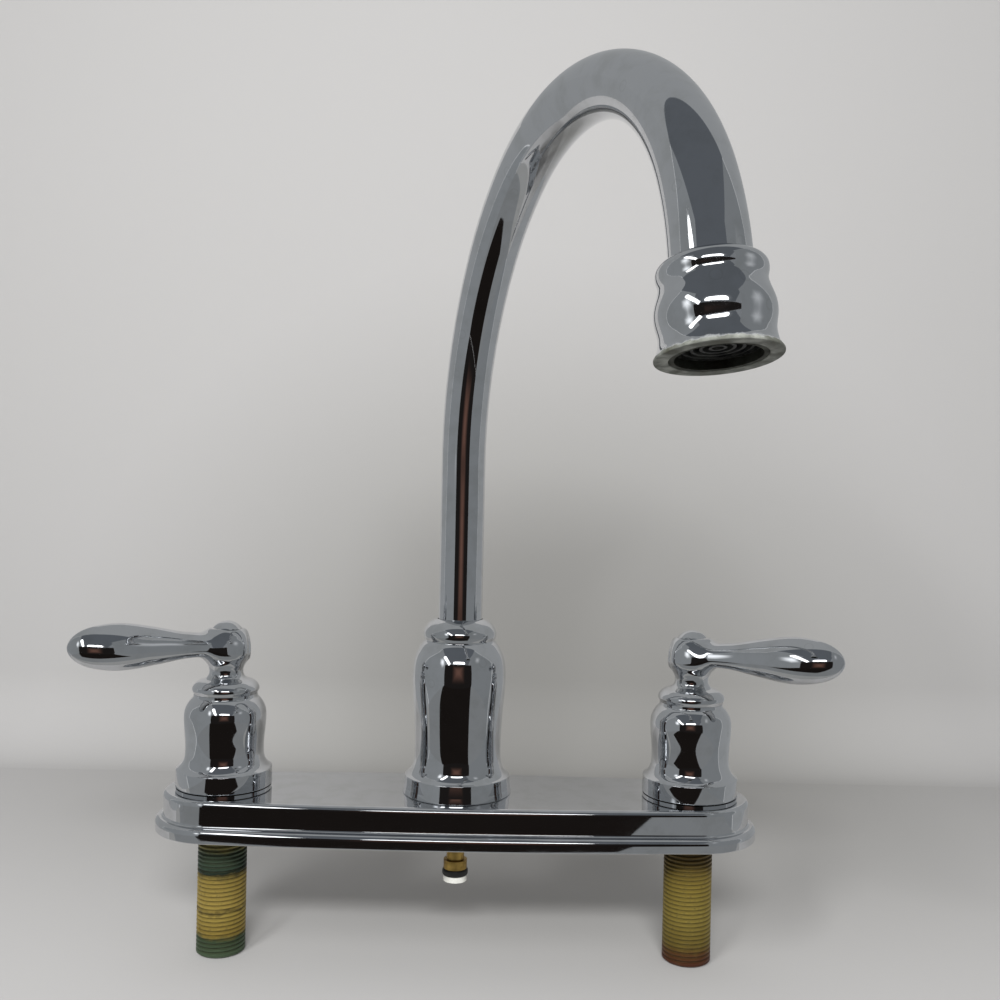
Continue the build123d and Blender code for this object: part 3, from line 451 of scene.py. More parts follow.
@dataclass(frozen=True)
class LimedChrome(PolishedChrome):
    """Chrome of the outlet, whose lip is coated by hard water.

    The eye gets the same mirror down to the waist, then a dull grey rim with olive stains and
    chipped edges where limescale has grown from the spray.
    """

    lime_start: float = 26.6  # mm down the outlet where the scale begins
    lime_full: float = 27.6  # and where it covers the chrome
    raggedness: float = 2.4  # mm by which its border wanders in all
    ragged_size: float = 2.2  # mm across a wandering
    stain_size: float = 6.0  # mm across a stain
    stain_noise: tuple[float, float, float] = (0.36, 0.52, 0.66)  # at clean, dirty, stained
    lime_metallic: float = 0.12
    lime_roughness: float = 0.62
    cover: float = 0.94  # how much of the chrome it hides
    crust_height: float = 0.25  # mm
    lime_colour: str = "#868880"
    dirty_lime_colour: str = "#585A52"
    stain_colour: str = "#3A3A28"
    to_outlet: Matrix | None = None  # from Object coordinates to the outlet's own frame

    def surface(self, tree: bpy.types.NodeTree, place: bpy.types.NodeSocket) -> dict[str, object]:
        """Chrome mixed with matt scale by the distance down the outlet's axis."""
        mirror = super().surface(tree, place)
        local = add_node(tree, "Mapping", {
            "Vector": place, "Location": self.to_outlet.translation,
            "Rotation": self.to_outlet.to_euler()})
        down = add_node(tree, "SeparateXYZ", {"Vector": local}, "Z")
        ragged = add_node(tree, "TexNoise",
                          {"Vector": place, "Scale": per_mm(self.ragged_size), "Detail": 4.0})
        shifted = add_node(tree, "Math", {0: ragged, 1: self.raggedness * MM, 2: down},
                           operation="MULTIPLY_ADD")
        mean = 0.5 * self.raggedness
        crust = add_node(tree, "MapRange", {
            "Value": shifted, "From Min": (self.lime_start + mean) * MM,
            "From Max": (self.lime_full + mean) * MM,
            "To Max": self.cover}, interpolation_type="SMOOTHSTEP")
        cloud = add_node(tree, "TexNoise",
                         {"Vector": place, "Scale": per_mm(self.stain_size), "Detail": 5.0})
        clean, dirty, stain = self.stain_noise
        stained = add_node(tree, "ValToRGB", {"Fac": cloud}, stops=(
            (clean, self.lime_colour), (stain, self.stain_colour), (dirty, self.dirty_lime_colour)))
        grain = add_node(tree, "Math", {0: ragged, 1: crust}, operation="MULTIPLY")
        return {
            "Base Color": add_node(tree, "Mix", {0: crust, 6: mirror["Base Color"], 7: stained}, 2,
                                   data_type="RGBA"),
            "Metallic": add_node(tree, "MapRange", {
                "Value": crust, "From Max": self.cover, "To Min": 1.0,
                "To Max": self.lime_metallic}),
            "Roughness": add_node(tree, "Mix", {
                0: crust, 2: mirror["Roughness"], 3: self.lime_roughness}, 0, data_type="FLOAT"),
            "Normal": add_node(tree, "Bump", {
                "Distance": self.crust_height * MM, "Height": grain, "Normal": mirror["Normal"]}),
        }


@dataclass(frozen=True)
class WeatheredBrass(Finish):
    """Cut brass thread after years under a wet sink.

    The eye gets dull olive-yellow brass that is darker, duller and less metallic in the thread's
    roots, and bands of blue-green verdigris or red-brown tarnish at the heights given.
    """

    bands: tuple[tuple[float, str], ...] = ()  # heights from the foot up, and the colour there
    grime: str = "#2B2817"
    foot: float = -58.0  # lowest height of the colour ramp
    head: float = 6.0  # and its highest
    wander: float = 6.0  # mm by which the bands' borders wander in all
    axis_x: float = 0.0  # of the shank, for the depth of its thread
    root: float = 9.5
    crest: float = 10.4
    blotch_size: float = 5.0
    root_darkening: float = 0.55  # share of the dark mix at the thread's roots
    patch_size: float = 1.6
    patch_noise: tuple[float, float] = (0.5, 0.78)  # noise at which a patch begins and is whole
    patch_grime: float = 0.6  # share of grime in a whole patch, the most there is
    metallic: tuple[float, float] = (0.55, 0.05)  # where clean and at the full dark share
    roughness: tuple[float, float] = (0.42, 0.8)
    pit_size: float = 0.7
    pit_depth: float = 0.12

    def surface(self, tree: bpy.types.NodeTree, place: bpy.types.NodeSocket) -> dict[str, object]:
        """A ramp over the height, blotched, darker towards the thread's roots and with grime in
        patches.
        """
        height = add_node(tree, "SeparateXYZ", {"Vector": place}, "Z")
        blotch = add_node(tree, "TexNoise",
                          {"Vector": place, "Scale": per_mm(self.blotch_size), "Detail": 5.0})
        shifted = add_node(tree, "Math", {0: blotch, 1: self.wander * MM, 2: height},
                           operation="MULTIPLY_ADD")
        mean = 0.5 * self.wander
        share = add_node(tree, "MapRange", {
            "Value": shifted, "From Min": (self.foot + mean) * MM,
            "From Max": (self.head + mean) * MM})
        reach = self.head - self.foot
        brass = add_node(tree, "ValToRGB", {"Fac": share},
                         stops=tuple(((z - self.foot) / reach, colour) for z, colour in self.bands))
        centred = add_node(tree, "Mapping", {"Vector": place, "Location": (-self.axis_x * MM, 0, 0),
                                             "Scale": (1, 1, 0)})
        radius = add_node(tree, "VectorMath", {0: centred}, "Value", operation="LENGTH")
        # darker, duller and less metallic towards the thread's roots
        depth = add_node(tree, "MapRange", {
            "Value": radius, "From Min": self.crest * MM, "From Max": self.root * MM,
            "To Max": self.root_darkening})
        patches = add_node(tree, "TexNoise",
                           {"Vector": place, "Scale": per_mm(self.patch_size), "Detail": 5.0})
        spots = add_node(tree, "MapRange", {
            "Value": patches, "From Min": self.patch_noise[0], "From Max": self.patch_noise[1],
            "To Max": self.patch_grime}, interpolation_type="SMOOTHSTEP")
        dark_share = add_node(tree, "Math", {0: depth, 1: spots}, operation="MAXIMUM")
        pits = add_node(tree, "TexNoise",
                        {"Vector": place, "Scale": per_mm(self.pit_size), "Detail": 4.0})
        return {
            "Base Color": add_node(tree, "Mix", {0: dark_share, 6: brass, 7: linear(self.grime)}, 2,
                                   data_type="RGBA"),
            "Metallic": add_node(tree, "MapRange", {
                "Value": dark_share, "From Max": self.patch_grime, "To Min": self.metallic[0],
                "To Max": self.metallic[1]}),
            "Roughness": add_node(tree, "MapRange", {
                "Value": dark_share, "From Max": self.patch_grime, "To Min": self.roughness[0],
                "To Max": self.roughness[1]}),
            "Normal": add_node(tree, "Bump", {
                "Strength": 0.7, "Distance": self.pit_depth * MM, "Height": pits}),
        }


@dataclass(frozen=True)
class TurnedMetal(Finish):
    """Metal left as the lathe or the drawing die made it, such as brass, copper or steel.

    The eye gets soft highlights broken by fine turning marks and a slightly uneven tarnish.
    """

    colour: str = "#C9A961"
    tarnish: str = "#8E7440"
    roughness: float = 0.28
    tarnish_size: float = 4.0  # mm across a blotch
    tarnish_noise: tuple[float, float] = (0.35, 0.75)  # noise at bright and at tarnished metal
    dulling_noise: tuple[float, float] = (0.3, 0.8)  # and where the dulling starts and ends
    dulling: float = 0.2  # roughness that tarnish adds
    mark_spacing: float = 0.3  # mm; real tool marks are finer, this is as coarse as shows
    mark_depth: float = 0.02

    def surface(self, tree: bpy.types.NodeTree, place: bpy.types.NodeSocket) -> dict[str, object]:
        """Tarnish by a blotchy noise, tool marks by a bump in bands along Z."""
        blotch = add_node(tree, "TexNoise",
                          {"Vector": place, "Scale": per_mm(self.tarnish_size), "Detail": 4.0})
        marks = add_node(tree, "TexWave", {
            "Vector": place, "Scale": per_mm(2.0 * math.pi * self.mark_spacing), "Distortion": 1.5,
            "Detail": 2.0},
            "Fac", bands_direction="Z")
        return {
            "Base Color": add_node(tree, "ValToRGB", {"Fac": blotch}, stops=tuple(
                zip(self.tarnish_noise, (self.colour, self.tarnish)))),
            "Metallic": 1.0,
            "Roughness": add_node(tree, "MapRange", {
                "Value": blotch, "From Min": self.dulling_noise[0],
                "From Max": self.dulling_noise[1], "To Min": self.roughness,
                "To Max": self.roughness + self.dulling}),
            "Normal": add_node(tree, "Bump", {
                "Strength": 0.5, "Distance": self.mark_depth * MM, "Height": marks}),
        }


@dataclass(frozen=True)
class Moulded(Finish):
    """Moulded rubber, plastic or pressed ceramic.

    The eye gets an even colour with slight cloudiness, a fine moulded grain and, where asked for,
    a scuffed or limed tint on patches.
    """

    colour: str = "#202020"
    worn_colour: str = "#333333"
    roughness: float = 0.5
    cloud_size: float = 3.5
    worn_noise: tuple[float, float] = (0.38, 0.72)  # noise at even and at worn colour
    rough_noise: tuple[float, float] = (0.3, 0.8)  # and where it is smoothest and roughest
    smoother: float = 0.06  # how far the roughness goes below its mean
    rougher: float = 0.1  # and above it
    grain: float = 0.4  # mm between the bumps of the grain
    grain_height: float = 0.02  # mm
    ior: float = 1.5

    def surface(self, tree: bpy.types.NodeTree, place: bpy.types.NodeSocket) -> dict[str, object]:
        """Cloudy colour, roughness that follows the clouds, and a fine bump."""
        cloud = add_node(tree, "TexNoise",
                         {"Vector": place, "Scale": per_mm(self.cloud_size), "Detail": 4.0})
        bumps = add_node(tree, "TexNoise",
                         {"Vector": place, "Scale": per_mm(self.grain), "Detail": 2.0})
        return {
            "Base Color": add_node(tree, "ValToRGB", {"Fac": cloud}, stops=tuple(
                zip(self.worn_noise, (self.colour, self.worn_colour)))),
            "IOR": self.ior,
            "Roughness": add_node(tree, "MapRange", {
                "Value": cloud, "From Min": self.rough_noise[0], "From Max": self.rough_noise[1],
                "To Min": self.roughness - self.smoother, "To Max": self.roughness + self.rougher}),
            "Normal": add_node(tree, "Bump", {"Distance": self.grain_height * MM, "Height": bumps}),
        }


CHROME = PolishedChrome("polished_chrome_plate")
BRASS = TurnedMetal("machined_brass")
COPPER = TurnedMetal("drawn_copper_tube", colour="#C98A6A", tarnish="#8C5A40", roughness=0.3)
LIMED_BRASS = TurnedMetal("limed_brass", colour="#5E6058", tarnish="#34342A", roughness=0.5)
STEEL = TurnedMetal("stainless_steel", colour="#B9BABA", tarnish="#8F9090", roughness=0.3)
RUBBER = Moulded("nitrile_rubber", colour="#161616", worn_colour="#262524", roughness=0.52)
WHITE_PLASTIC = Moulded("white_acetal", colour="#DADAD4", worn_colour="#C6C5BC", roughness=0.36,
                        ior=1.48)
BLACK_PLASTIC = Moulded("black_acetal", colour="#101112", worn_colour="#3A3B38", roughness=0.42,
                        ior=1.48)
CERAMIC = Moulded("fired_alumina", colour="#EDEBE4", worn_colour="#E2DFD6", roughness=0.16,
                  grain_height=0.004, ior=1.76)
HOT_THREAD = WeatheredBrass("brass_thread_with_verdigris", axis_x=-HANDLE_X, bands=(
    (-54.0, "#4A5A44"), (-47.5, "#3C4A34"), (-45.0, "#8A7636"), (-36.5, "#A08C46"),
    (-35.4, "#6A5C30"), (-33.5, "#A38E48"), (-21.5, "#988442"), (-18.6, "#202A22"),
    (-16.5, "#3A4A3C"), (-10.5, "#4A5844"), (-8.0, "#7C7444"), (4.0, "#7A7040")))
COLD_THREAD = WeatheredBrass("brass_thread_with_red_tarnish", axis_x=HANDLE_X, bands=(
    (-54.0, "#4E2A1C"), (-49.5, "#5A3C20"), (-46.0, "#6E5E2A"), (-34.0, "#8A7A3A"),
    (-20.0, "#8C7A38"), (-12.0, "#6E5C2C"), (-7.0, "#5E4C26"), (4.0, "#8A7838")))


def place_piece(
    name: str, nodes: tuple[str, ...], mesh: bpy.types.Mesh, body: str, finish: Finish = CHROME,
    sharp_angle: float | None = SHARP_ANGLE,
) -> None:
    """Puts a finished mesh into the scene in place of CAD nodes.

    Args:
        name: name of the new piece.
        nodes: CAD nodes that it stands for.
        mesh: its mesh, in place, in metres.
        body: the CAD body that it rides on.
        finish: its finish.
        sharp_angle: as in shade(), or None for a mesh that is shaded already.
    """
    if sharp_angle is not None:
        shade(mesh, sharp_angle)
    piece = new_object(name, mesh)
    mesh.name = name
    mesh.materials.clear()
    mesh.materials.append(finish.material())
    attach(piece, body)
    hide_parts(*nodes)
    log.info("%s: %d faces in %s", name, len(mesh.polygons), finish.name)


# ---------------------------------------------------------------- deck plate
@dataclass
class DeckPlate:
    """Oval chromed plate, hollow underneath, with a rounded foot and three holes."""

    end_radius: float = 25.2
    half_depth: float = 28.3
    height: float = PLATE_TOP
    edge_round: float = 2.15
    rim_lift: float = 0.3
    foot_reach: float = 3.26
    foot_height: float = 5.9
    foot_round: float = 2.6
    wall: float = 2.5
    top: float = 3.0
    pocket_reach: float = 0.8
    pocket_height: float = 2.5
    centre_hole: float = 12.8
    handle_hole: float = 11.3
    drilled: tuple[float, float] = (10.0, 20.0)  # heights between which the holes are cut
    lid_inset: float = 9.0  # from the outline in to the flat lid of the top
    end_steps: int = 72  # points along each end of the outline
    side_steps: int = 48  # and along each long side
    hole_columns: int = 96
    body: str = "deck_unit"

    def rim(self) -> tuple[np.ndarray, np.ndarray]:
        """Outline of the wall and its outward normals.

        Formula: two arcs about the handle axes and two long arcs that touch them. All the arcs of
        a moved outline share their centres, so a point moved along its normal stays on it.

        Returns:
            Points and unit normals, one row each, once round.
        """
        spare = self.half_depth - self.end_radius
        long_radius = (HANDLE_X**2 + self.half_depth**2 - self.end_radius**2) / (2.0 * spare)
        lean = math.asin(HANDLE_X / (long_radius - self.end_radius))
        ends = np.linspace(-math.pi / 2 + lean, math.pi / 2 - lean, self.end_steps, endpoint=False)
        sides = np.linspace(math.pi / 2 - lean, math.pi / 2 + lean, self.side_steps, endpoint=False)
        angle = np.concatenate([ends, sides, ends + math.pi, sides + math.pi])
        steps = (self.end_steps, self.side_steps) * 2
        shift = self.half_depth - long_radius
        centre_x = np.repeat([HANDLE_X, 0.0, -HANDLE_X, 0.0], steps)
        centre_y = np.repeat([0.0, shift, 0.0, -shift], steps)
        radius = np.repeat([self.end_radius, long_radius] * 2, steps)
        normal = np.stack([np.cos(angle), np.sin(angle)], axis=1)
        return np.stack([centre_x, centre_y], axis=1) + radius[:, None] * normal, normal

    def section(self) -> np.ndarray:
        """Wall section as distance out and height, from the top face round to the ceiling."""
        under = self.height - self.top
        return rounded([
            (-self.lid_inset, self.height, 0), (0.0, self.height, self.edge_round),
            (0.0, self.foot_height + 0.25, 1.1),
            (self.foot_reach, self.foot_height, self.foot_round),
            (self.foot_reach, self.rim_lift, 0.5),
            (self.pocket_reach, self.rim_lift, 0.3), (self.pocket_reach, self.pocket_height, 0.2),
            (-self.wall, self.pocket_height, 0.3), (-self.wall, under, 0)], samples=9)

    def build(self) -> None:
        """Carries the section round the rim and cuts the three holes."""
        rim, normal = self.rim()
        section = self.section()
        flat = rim[None] + section[:, None, :1] * normal[None]
        grid = np.concatenate([flat, np.broadcast_to(section[:, None, 1:], (*flat.shape[:2], 1))],
                              axis=2)
        shell = grid_mesh(grid, loop=False, lids=True)
        cutters = []
        low, high = self.drilled
        for x, radius in (
                (-HANDLE_X, self.handle_hole), (0.0, self.centre_hole),
                (HANDLE_X, self.handle_hole)):
            drill = np.array([(0.0, low), (radius, low), (radius, high), (0.0, high)])
            cutters.append(turned_mesh(drill, upright(x), self.hole_columns))
        mesh = cut_away(shell, cutters, weigh_normals=True)
        place_piece("chrome_deck_plate", ("deck_plate",), mesh, self.body, sharp_angle=None)


# ---------------------------------------------------------------- threaded valve bodies
@dataclass
class ValveBody:
    """Brass body of one valve: helical pipe thread, flange, barrel and side port."""

    side: Side
    shank_bottom: float = -54.7
    crest: float = 10.4
    root: float = 9.5
    pitch: float = 1.814  # 14 threads to the inch
    waterway: float = 5.5
    flange: float = 13.0
    flange_bottom: float = 2.5
    flange_top: float = 13.7
    barrel: float = 11.0
    barrel_top: float = 36.0
    bore: float = 9.45
    seat: float = 20.0
    port_height: float = 8.1
    port: float = 3.4  # radius of the side port
    socket: float = 4.25  # and of the socket in which the supply tube ends
    socket_reach: tuple[float, float] = (10.0, 14.0)  # from the shank's axis
    chamfer: float = 9.35  # radius of the foot's face
    chamfer_height: float = 0.9
    undercut: float = 0.6  # height of the groove between thread and flange
    crest_share: float = 0.16  # of the pitch that the crest's flat takes
    flank_share: float = 0.5  # of the pitch that the two flanks take
    thread_fade: float = 0.8  # length over which the thread runs out at its ends
    sharp_angle: float = 50.0  # leaves the thread's flanks smooth
    columns: int = 96
    port_columns: int = 48
    rows_per_pitch: int = 11
    body: str = "deck_unit"

    def grid(self) -> np.ndarray:
        """Closed section turned about the axis, with the thread as a radius that follows a helix.

        Formula: the radius between root and crest is a clipped triangle wave of height over pitch
        less angle over a full turn. The wave fades out at the foot's chamfer and above the deck.

        Returns:
            Grid of points in millimetres.
        """
        foot, head = self.shank_bottom + self.chamfer_height, self.flange_bottom - self.undercut
        rows = int((head - foot) / self.pitch * self.rows_per_pitch)
        height = np.linspace(foot, head, rows)[:, None]
        angle = full_turn(self.columns)
        phase = np.mod(height / self.pitch - angle / (2.0 * math.pi), 1.0)
        wave = np.clip((np.abs(2.0 * phase - 1.0) - self.crest_share) / self.flank_share, 0.0, 1.0)
        wave = wave * wave * (3.0 - 2.0 * wave)
        fade = np.clip(np.minimum(height - foot, head - height) / self.thread_fade, 0.0, 1.0)
        radius = self.root + (self.crest - self.root) * (1.0 - (1.0 - wave) * fade)
        threads = np.stack([radius, height + 0.0 * angle], axis=1)
        before = rounded([(self.waterway, self.seat, 0), (self.waterway, self.shank_bottom, 0.4),
                          (self.chamfer, self.shank_bottom, 0.3), (self.crest, foot - HAIR, 0)], 4)
        after = rounded([(self.crest, self.flange_bottom - 0.3, 0),
                         (self.crest, self.flange_bottom, 0),
                         (self.flange, self.flange_bottom, 0.4),
                         (self.flange, self.flange_top, 0.4),
                         (self.barrel, self.flange_top, 0), (self.barrel, self.barrel_top, 0.4),
                         (self.bore, self.barrel_top, 0.3), (self.bore, self.seat, 0),
                         (self.waterway + 0.1, self.seat, 0)], 4)
        wide = [np.repeat(part[:, :, None], self.columns, axis=2) for part in (before, after)]
        section = np.concatenate([wide[0], threads, wide[1]])
        return turned_grid(section, upright(self.side.axis_x), self.columns)

    def build(self) -> None:
        """Makes the body and drills its side port towards the middle of the plate."""
        body = grid_mesh(self.grid(), loop=True)
        inward = -self.side.direction
        port = Placement((self.side.axis_x, 0.0, self.port_height), (0.0, 1.0, 0.0),
                         (0.0, 0.0, inward), (inward, 0.0, 0.0))
        start, end = self.socket_reach
        drill = np.array([(0.0, 0.0), (self.port, 0.0), (self.port, start), (self.socket, start),
                          (self.socket, end), (0.0, end)])
        mesh = cut_away(body, [turned_mesh(drill, port, self.port_columns)])
        prefix = self.side.prefix
        finish = HOT_THREAD if self.side is Side.HOT else COLD_THREAD
        place_piece(f"{prefix}_threaded_shank", (f"{prefix}_valve_body",), mesh, self.body, finish,
                    self.sharp_angle)


# ---------------------------------------------------------------- handles
@dataclass
class Handle:
    """One handle: bell skirt, lever with collar, neck and ball in one piece, and the cap button."""

    side: Side
    bell_bottom: float = 17.9
    foot_radius: float = 20.5
    foot_top: float = 25.2
    foot_bore: float = 18.7
    cove_foot: float = 21.2  # height up to which the bell's foot keeps that bore
    skirt_bore: float = 14.84
    skirt_foot: float = 28.0  # height from which the bell has it
    rim_bore: float = 8.0
    bell_top: float = 57.4
    rim_radius: float = 13.6
    boss_radius: float = 7.95
    boss_bottom: float = 50.0
    ball_radius: float = 10.0
    ball_height: float = 78.7
    seat: float = 85.2
    stem_bore: float = 6.55
    stem_bore_top: float = 70.0
    screw_bore: float = 2.2
    screw_seat: float = 73.0  # height on which the screw's head sits
    head_bore: float = 5.2
    bored: tuple[float, float] = (49.0, 90.0)  # heights between which the lever is bored
    forward_angle: float = 35.0
    upward_angle: float = 2.0  # by which the arm's middle line climbs
    pivot: tuple[float, float] = (11.7, 68.85)  # line that the lever's sections fan about: out, up
    upper_blend: float = 3.0  # softness of the crease between ball and lever on top
    lower_blend: float = 7.5  # and of the web under it
    egg: float = 0.16  # how far the arm's section is wider below its middle than above
    root_squareness: float = 2.6  # power of the section at the hub; 2 makes an ellipse
    back: float = 7.2  # how far the arm's root runs back past the handle's axis
    corner: float = 4.0  # radius of its corners there, in plan
    squeeze: float = 1.2  # by how much the ball is narrower across the arm than along it
    thinnest: float = 0.01  # least half width and height, so that the tip has a measure too
    egg_middle: float = 0.2  # share of the egg by which the section is narrowed as a whole
    oval_reach: tuple[float, float] = (12.0, 34.0)  # where the section turns into an ellipse
    squeeze_reach: tuple[float, float] = (69.0, 76.0)  # heights over which the squeeze sets in
    blend_reach: tuple[float, float] = (73.0, 82.0)  # and over which lower blend becomes upper
    seat_edge: float = 0.5  # softness of the edge round the button's seat
    neck_foot: float = 64.15  # height at which sections with a worked out skin begin
    base_top: float = 64.0  # and at which the turned base ends
    neck_rows: int = 16
    fan_rows: int = 84
    arm_rows: int = 110
    columns: int = 144
    widest: float = 22.0  # mm; no ray from the spine to the skin is longer
    halvings: int = 34
    swell_knots: Knots = (
        (19.75, 25.75), (18.25, 27.1), (17.15, 29.2), (16.75, 31.6), (16.68, 34.4), (16.85, 38.0),
        (17.3, 43.0), (17.5, 47.0), (17.15, 50.6), (16.35, 52.6), (15.3, 54.3), (14.3, 55.45),
        (13.62, 56.3))
    collar_knots: Knots = (
        (13.66, 57.75), (14.22, 58.9), (14.05, 60.5), (13.2, 61.7), (11.9, 62.75), (9.9, 63.55),
        (8.55, 64.15), (7.55, 65.3), (7.2, 66.8), (7.25, 68.6), (7.6, 70.7), (8.35, 72.9),
        (8.9, 74.2))
    depth_knots: Knots = (  # half the arm's height by the distance out
        (-7.2, 5.0), (-3.6, 6.1), (0.0, 6.4), (4.0, 6.4), (8.0, 5.9), (11.45, 5.15), (14.3, 5.26),
        (17.95, 5.55), (21.1, 5.99), (26.3, 7.01), (34.1, 8.46), (41.8, 9.55), (47.4, 9.72),
        (53.0, 9.11), (57.5, 8.07), (61.8, 6.11), (64.6, 3.58), (66.0, 0.0))
    width_knots: Knots = (  # and half its width
        (-3.2, 8.5), (0.0, 8.45), (8.0, 8.1), (15.0, 7.6), (22.0, 7.4), (29.0, 7.7), (36.0, 8.2),
        (43.0, 8.6), (49.0, 8.6), (54.0, 8.1), (58.0, 7.1), (62.0, 5.2), (64.6, 2.9), (66.0, 0.0))
    button_radius: float = 6.4
    button_foot: float = 85.4
    button_top: float = 88.8
    button_stem: float = 5.0
    button_stem_foot: float = 78.0
    dome_rows: int = 28
    button_columns: int = 96
    bore_columns: int = 64
    ball_foot: float = 74.4  # height at which the neck runs into the ball
    ball_rows: int = 120
    pole_gap: float = 0.05  # mm under the ball's top at which its rows end

    @property
    def climb(self) -> float:
        """How far the arm's middle line climbs for every millimetre out."""
        return math.tan(math.radians(self.upward_angle))

    @property
    def body(self) -> str:
        """The CAD body that the handle's pieces ride on."""
        return f"{self.side.prefix}_handle"

    def bell(self) -> None:
        """Bell skirt: flat foot, cove, long swell and groove, hollow for the cartridge."""
        foot = rounded([(self.foot_bore, self.bell_bottom, 0),
                        (self.foot_radius, self.bell_bottom, 0.45),
                        (self.foot_radius - 0.1, self.foot_top, 0.45), (*self.swell_knots[0], 0)])
        swell = smooth_curve(self.swell_knots, start=(-1.0, 0.45), end=(-0.25, 1.0))
        inside = rounded([
            (self.rim_radius, self.bell_top, 0), (self.rim_bore, self.bell_top, 0),
            (self.rim_bore, self.boss_bottom, 0), (self.skirt_bore, self.boss_bottom, 1.0),
            (self.skirt_bore, self.skirt_foot, 1.0), (self.foot_bore, self.cove_foot, 1.0),
            (self.foot_bore, self.bell_bottom + 0.2, 0)], 4)
        mesh = turned_mesh(joined(foot, swell, inside), upright(self.side.axis_x))
        prefix = self.side.prefix
        place_piece(f"{prefix}_chrome_bell", (f"{prefix}_handle_bell",), mesh, self.body)

    def hub_radius(self, height: np.ndarray) -> np.ndarray:
        """Radius of collar, neck and ball about the handle's axis at a height."""
        collar = smooth_curve(self.collar_knots, start=(0.45, 1.0))
        top = self.ball_height + self.ball_radius - self.pole_gap
        rise = np.linspace(self.ball_foot, top, self.ball_rows)
        ball = np.stack([np.sqrt(self.ball_radius**2 - (rise - self.ball_height)**2), rise], axis=1)
        line = joined(collar, ball)
        return np.interp(height, line[:, 1], line[:, 0])

    def arm(self, out: np.ndarray, aside: np.ndarray, height: np.ndarray) -> np.ndarray:
        """Signed measure of the arm's skin, below zero inside.

        Formula: across the arm the skin is a rounded egg, |x / w(1 - k z/d)|^p + |z / d|^p = 1,
        with half width w and half height d read from two curves along it. The root's corners in
        plan are arcs, and the power p falls to 2 along the arm. The measure is the p-th root of
        the left side less one, times the geometric mean of w and d, or the distance behind the
        root's end where that is greater.

        Args:
            out: distance along the lever from the handle's axis.
            aside: distance across it.
            height: height over the sink deck.

        Returns:
            The measure, shaped as the arguments.
        """
        depth = smooth_curve(self.depth_knots, start=(1.0, 0.4), end=(0.0, -1.0), step=0.25)
        width = smooth_curve(self.width_knots, start=(1.0, 0.0), end=(0.0, -1.0), step=0.25)
        half_height = np.maximum(np.interp(out, depth[:, 0], depth[:, 1]), self.thinnest)
        half_width = np.maximum(np.interp(out, width[:, 0], width[:, 1]), self.thinnest)
        past = np.clip((self.width_knots[0][0] - out) / self.corner, 0.0, 1.0)
        half_width -= self.corner * (1.0 - np.sqrt(1.0 - past * past))
        rise = (height - self.ball_height - out * self.climb) / half_height
        lean = (1.0 - self.egg * np.clip(rise, -1.0, 1.0)) / (1.0 + self.egg_middle * self.egg)
        power = np.interp(out, self.oval_reach, [self.root_squareness, 2.0])
        reach = np.abs(aside / (half_width * lean))**power + np.abs(rise)**power
        measure = (reach**(1.0 / power) - 1.0) * np.sqrt(half_height * half_width)
        return np.maximum(measure, -self.back - out)

    def skin(self, out: np.ndarray, aside: np.ndarray, height: np.ndarray) -> np.ndarray:
        """Signed measure of the lever's skin, below zero inside.

        Formula: the hub is the distance from its axis, drawn out across the arm so that the ball
        comes out narrower there, less its radius at that height, or the height over the button's
        seat where that is greater. The skin is the lesser of hub and arm. Where the two differ by
        less than k, k/4 times the square of that lack's share of k is taken off it.

        Args:
            out: distance along the lever from the handle's axis.
            aside: distance across it.
            height: height over the sink deck.

        Returns:
            The measure, shaped as the arguments.
        """
        squeeze = np.interp(height, self.squeeze_reach, [1.0, self.squeeze])
        round_hub = np.hypot(out, aside * squeeze) - self.hub_radius(height)
        flat = height - self.seat
        edge = np.clip(self.seat_edge - np.abs(round_hub - flat), 0.0, None) / self.seat_edge
        hub = np.maximum(round_hub, flat) + edge * edge * self.seat_edge / 4.0
        limb = self.arm(out, aside, height)
        blend = np.interp(height, self.blend_reach, [self.lower_blend, self.upper_blend])
        near = np.clip(blend - np.abs(hub - limb), 0.0, None) / blend
        return np.minimum(hub, limb) - near * near * blend / 4.0

    def spine(self) -> tuple[np.ndarray, np.ndarray, np.ndarray]:
        """Line that the lever's sections stand on, up the neck and out to the tip.

        Formula: every section lies in a plane across a bent spine: level planes up the neck,
        planes that fan a quarter turn about the pivot line, then upright planes out to the tip.

        Returns:
            Distance out, height and lean of each section; the lean is that of its plane's normal
            from upright, in radians.
        """
        pivot_out, pivot_up = self.pivot
        fan = np.linspace(0.0, math.pi / 2, self.fan_rows)[1:-1]
        drop = np.interp(fan, [0.0, math.pi / 2], [pivot_out, self.ball_height - pivot_up])
        neck = np.linspace(self.neck_foot, pivot_up, self.neck_rows)
        tip = self.depth_knots[-1][0]
        swing = np.sin(np.linspace(0.0, math.pi / 2, self.arm_rows))[:-1]
        far = pivot_out + (tip - pivot_out) * swing
        climbed = (far - pivot_out) * tip / (tip - pivot_out) * self.climb
        out = np.concatenate([0.0 * neck, pivot_out - drop * np.cos(fan), far])
        up = np.concatenate([neck, pivot_up + drop * np.sin(fan), self.ball_height + climbed])
        return out, up, np.concatenate([0.0 * neck, fan, 0.0 * far + math.pi / 2])

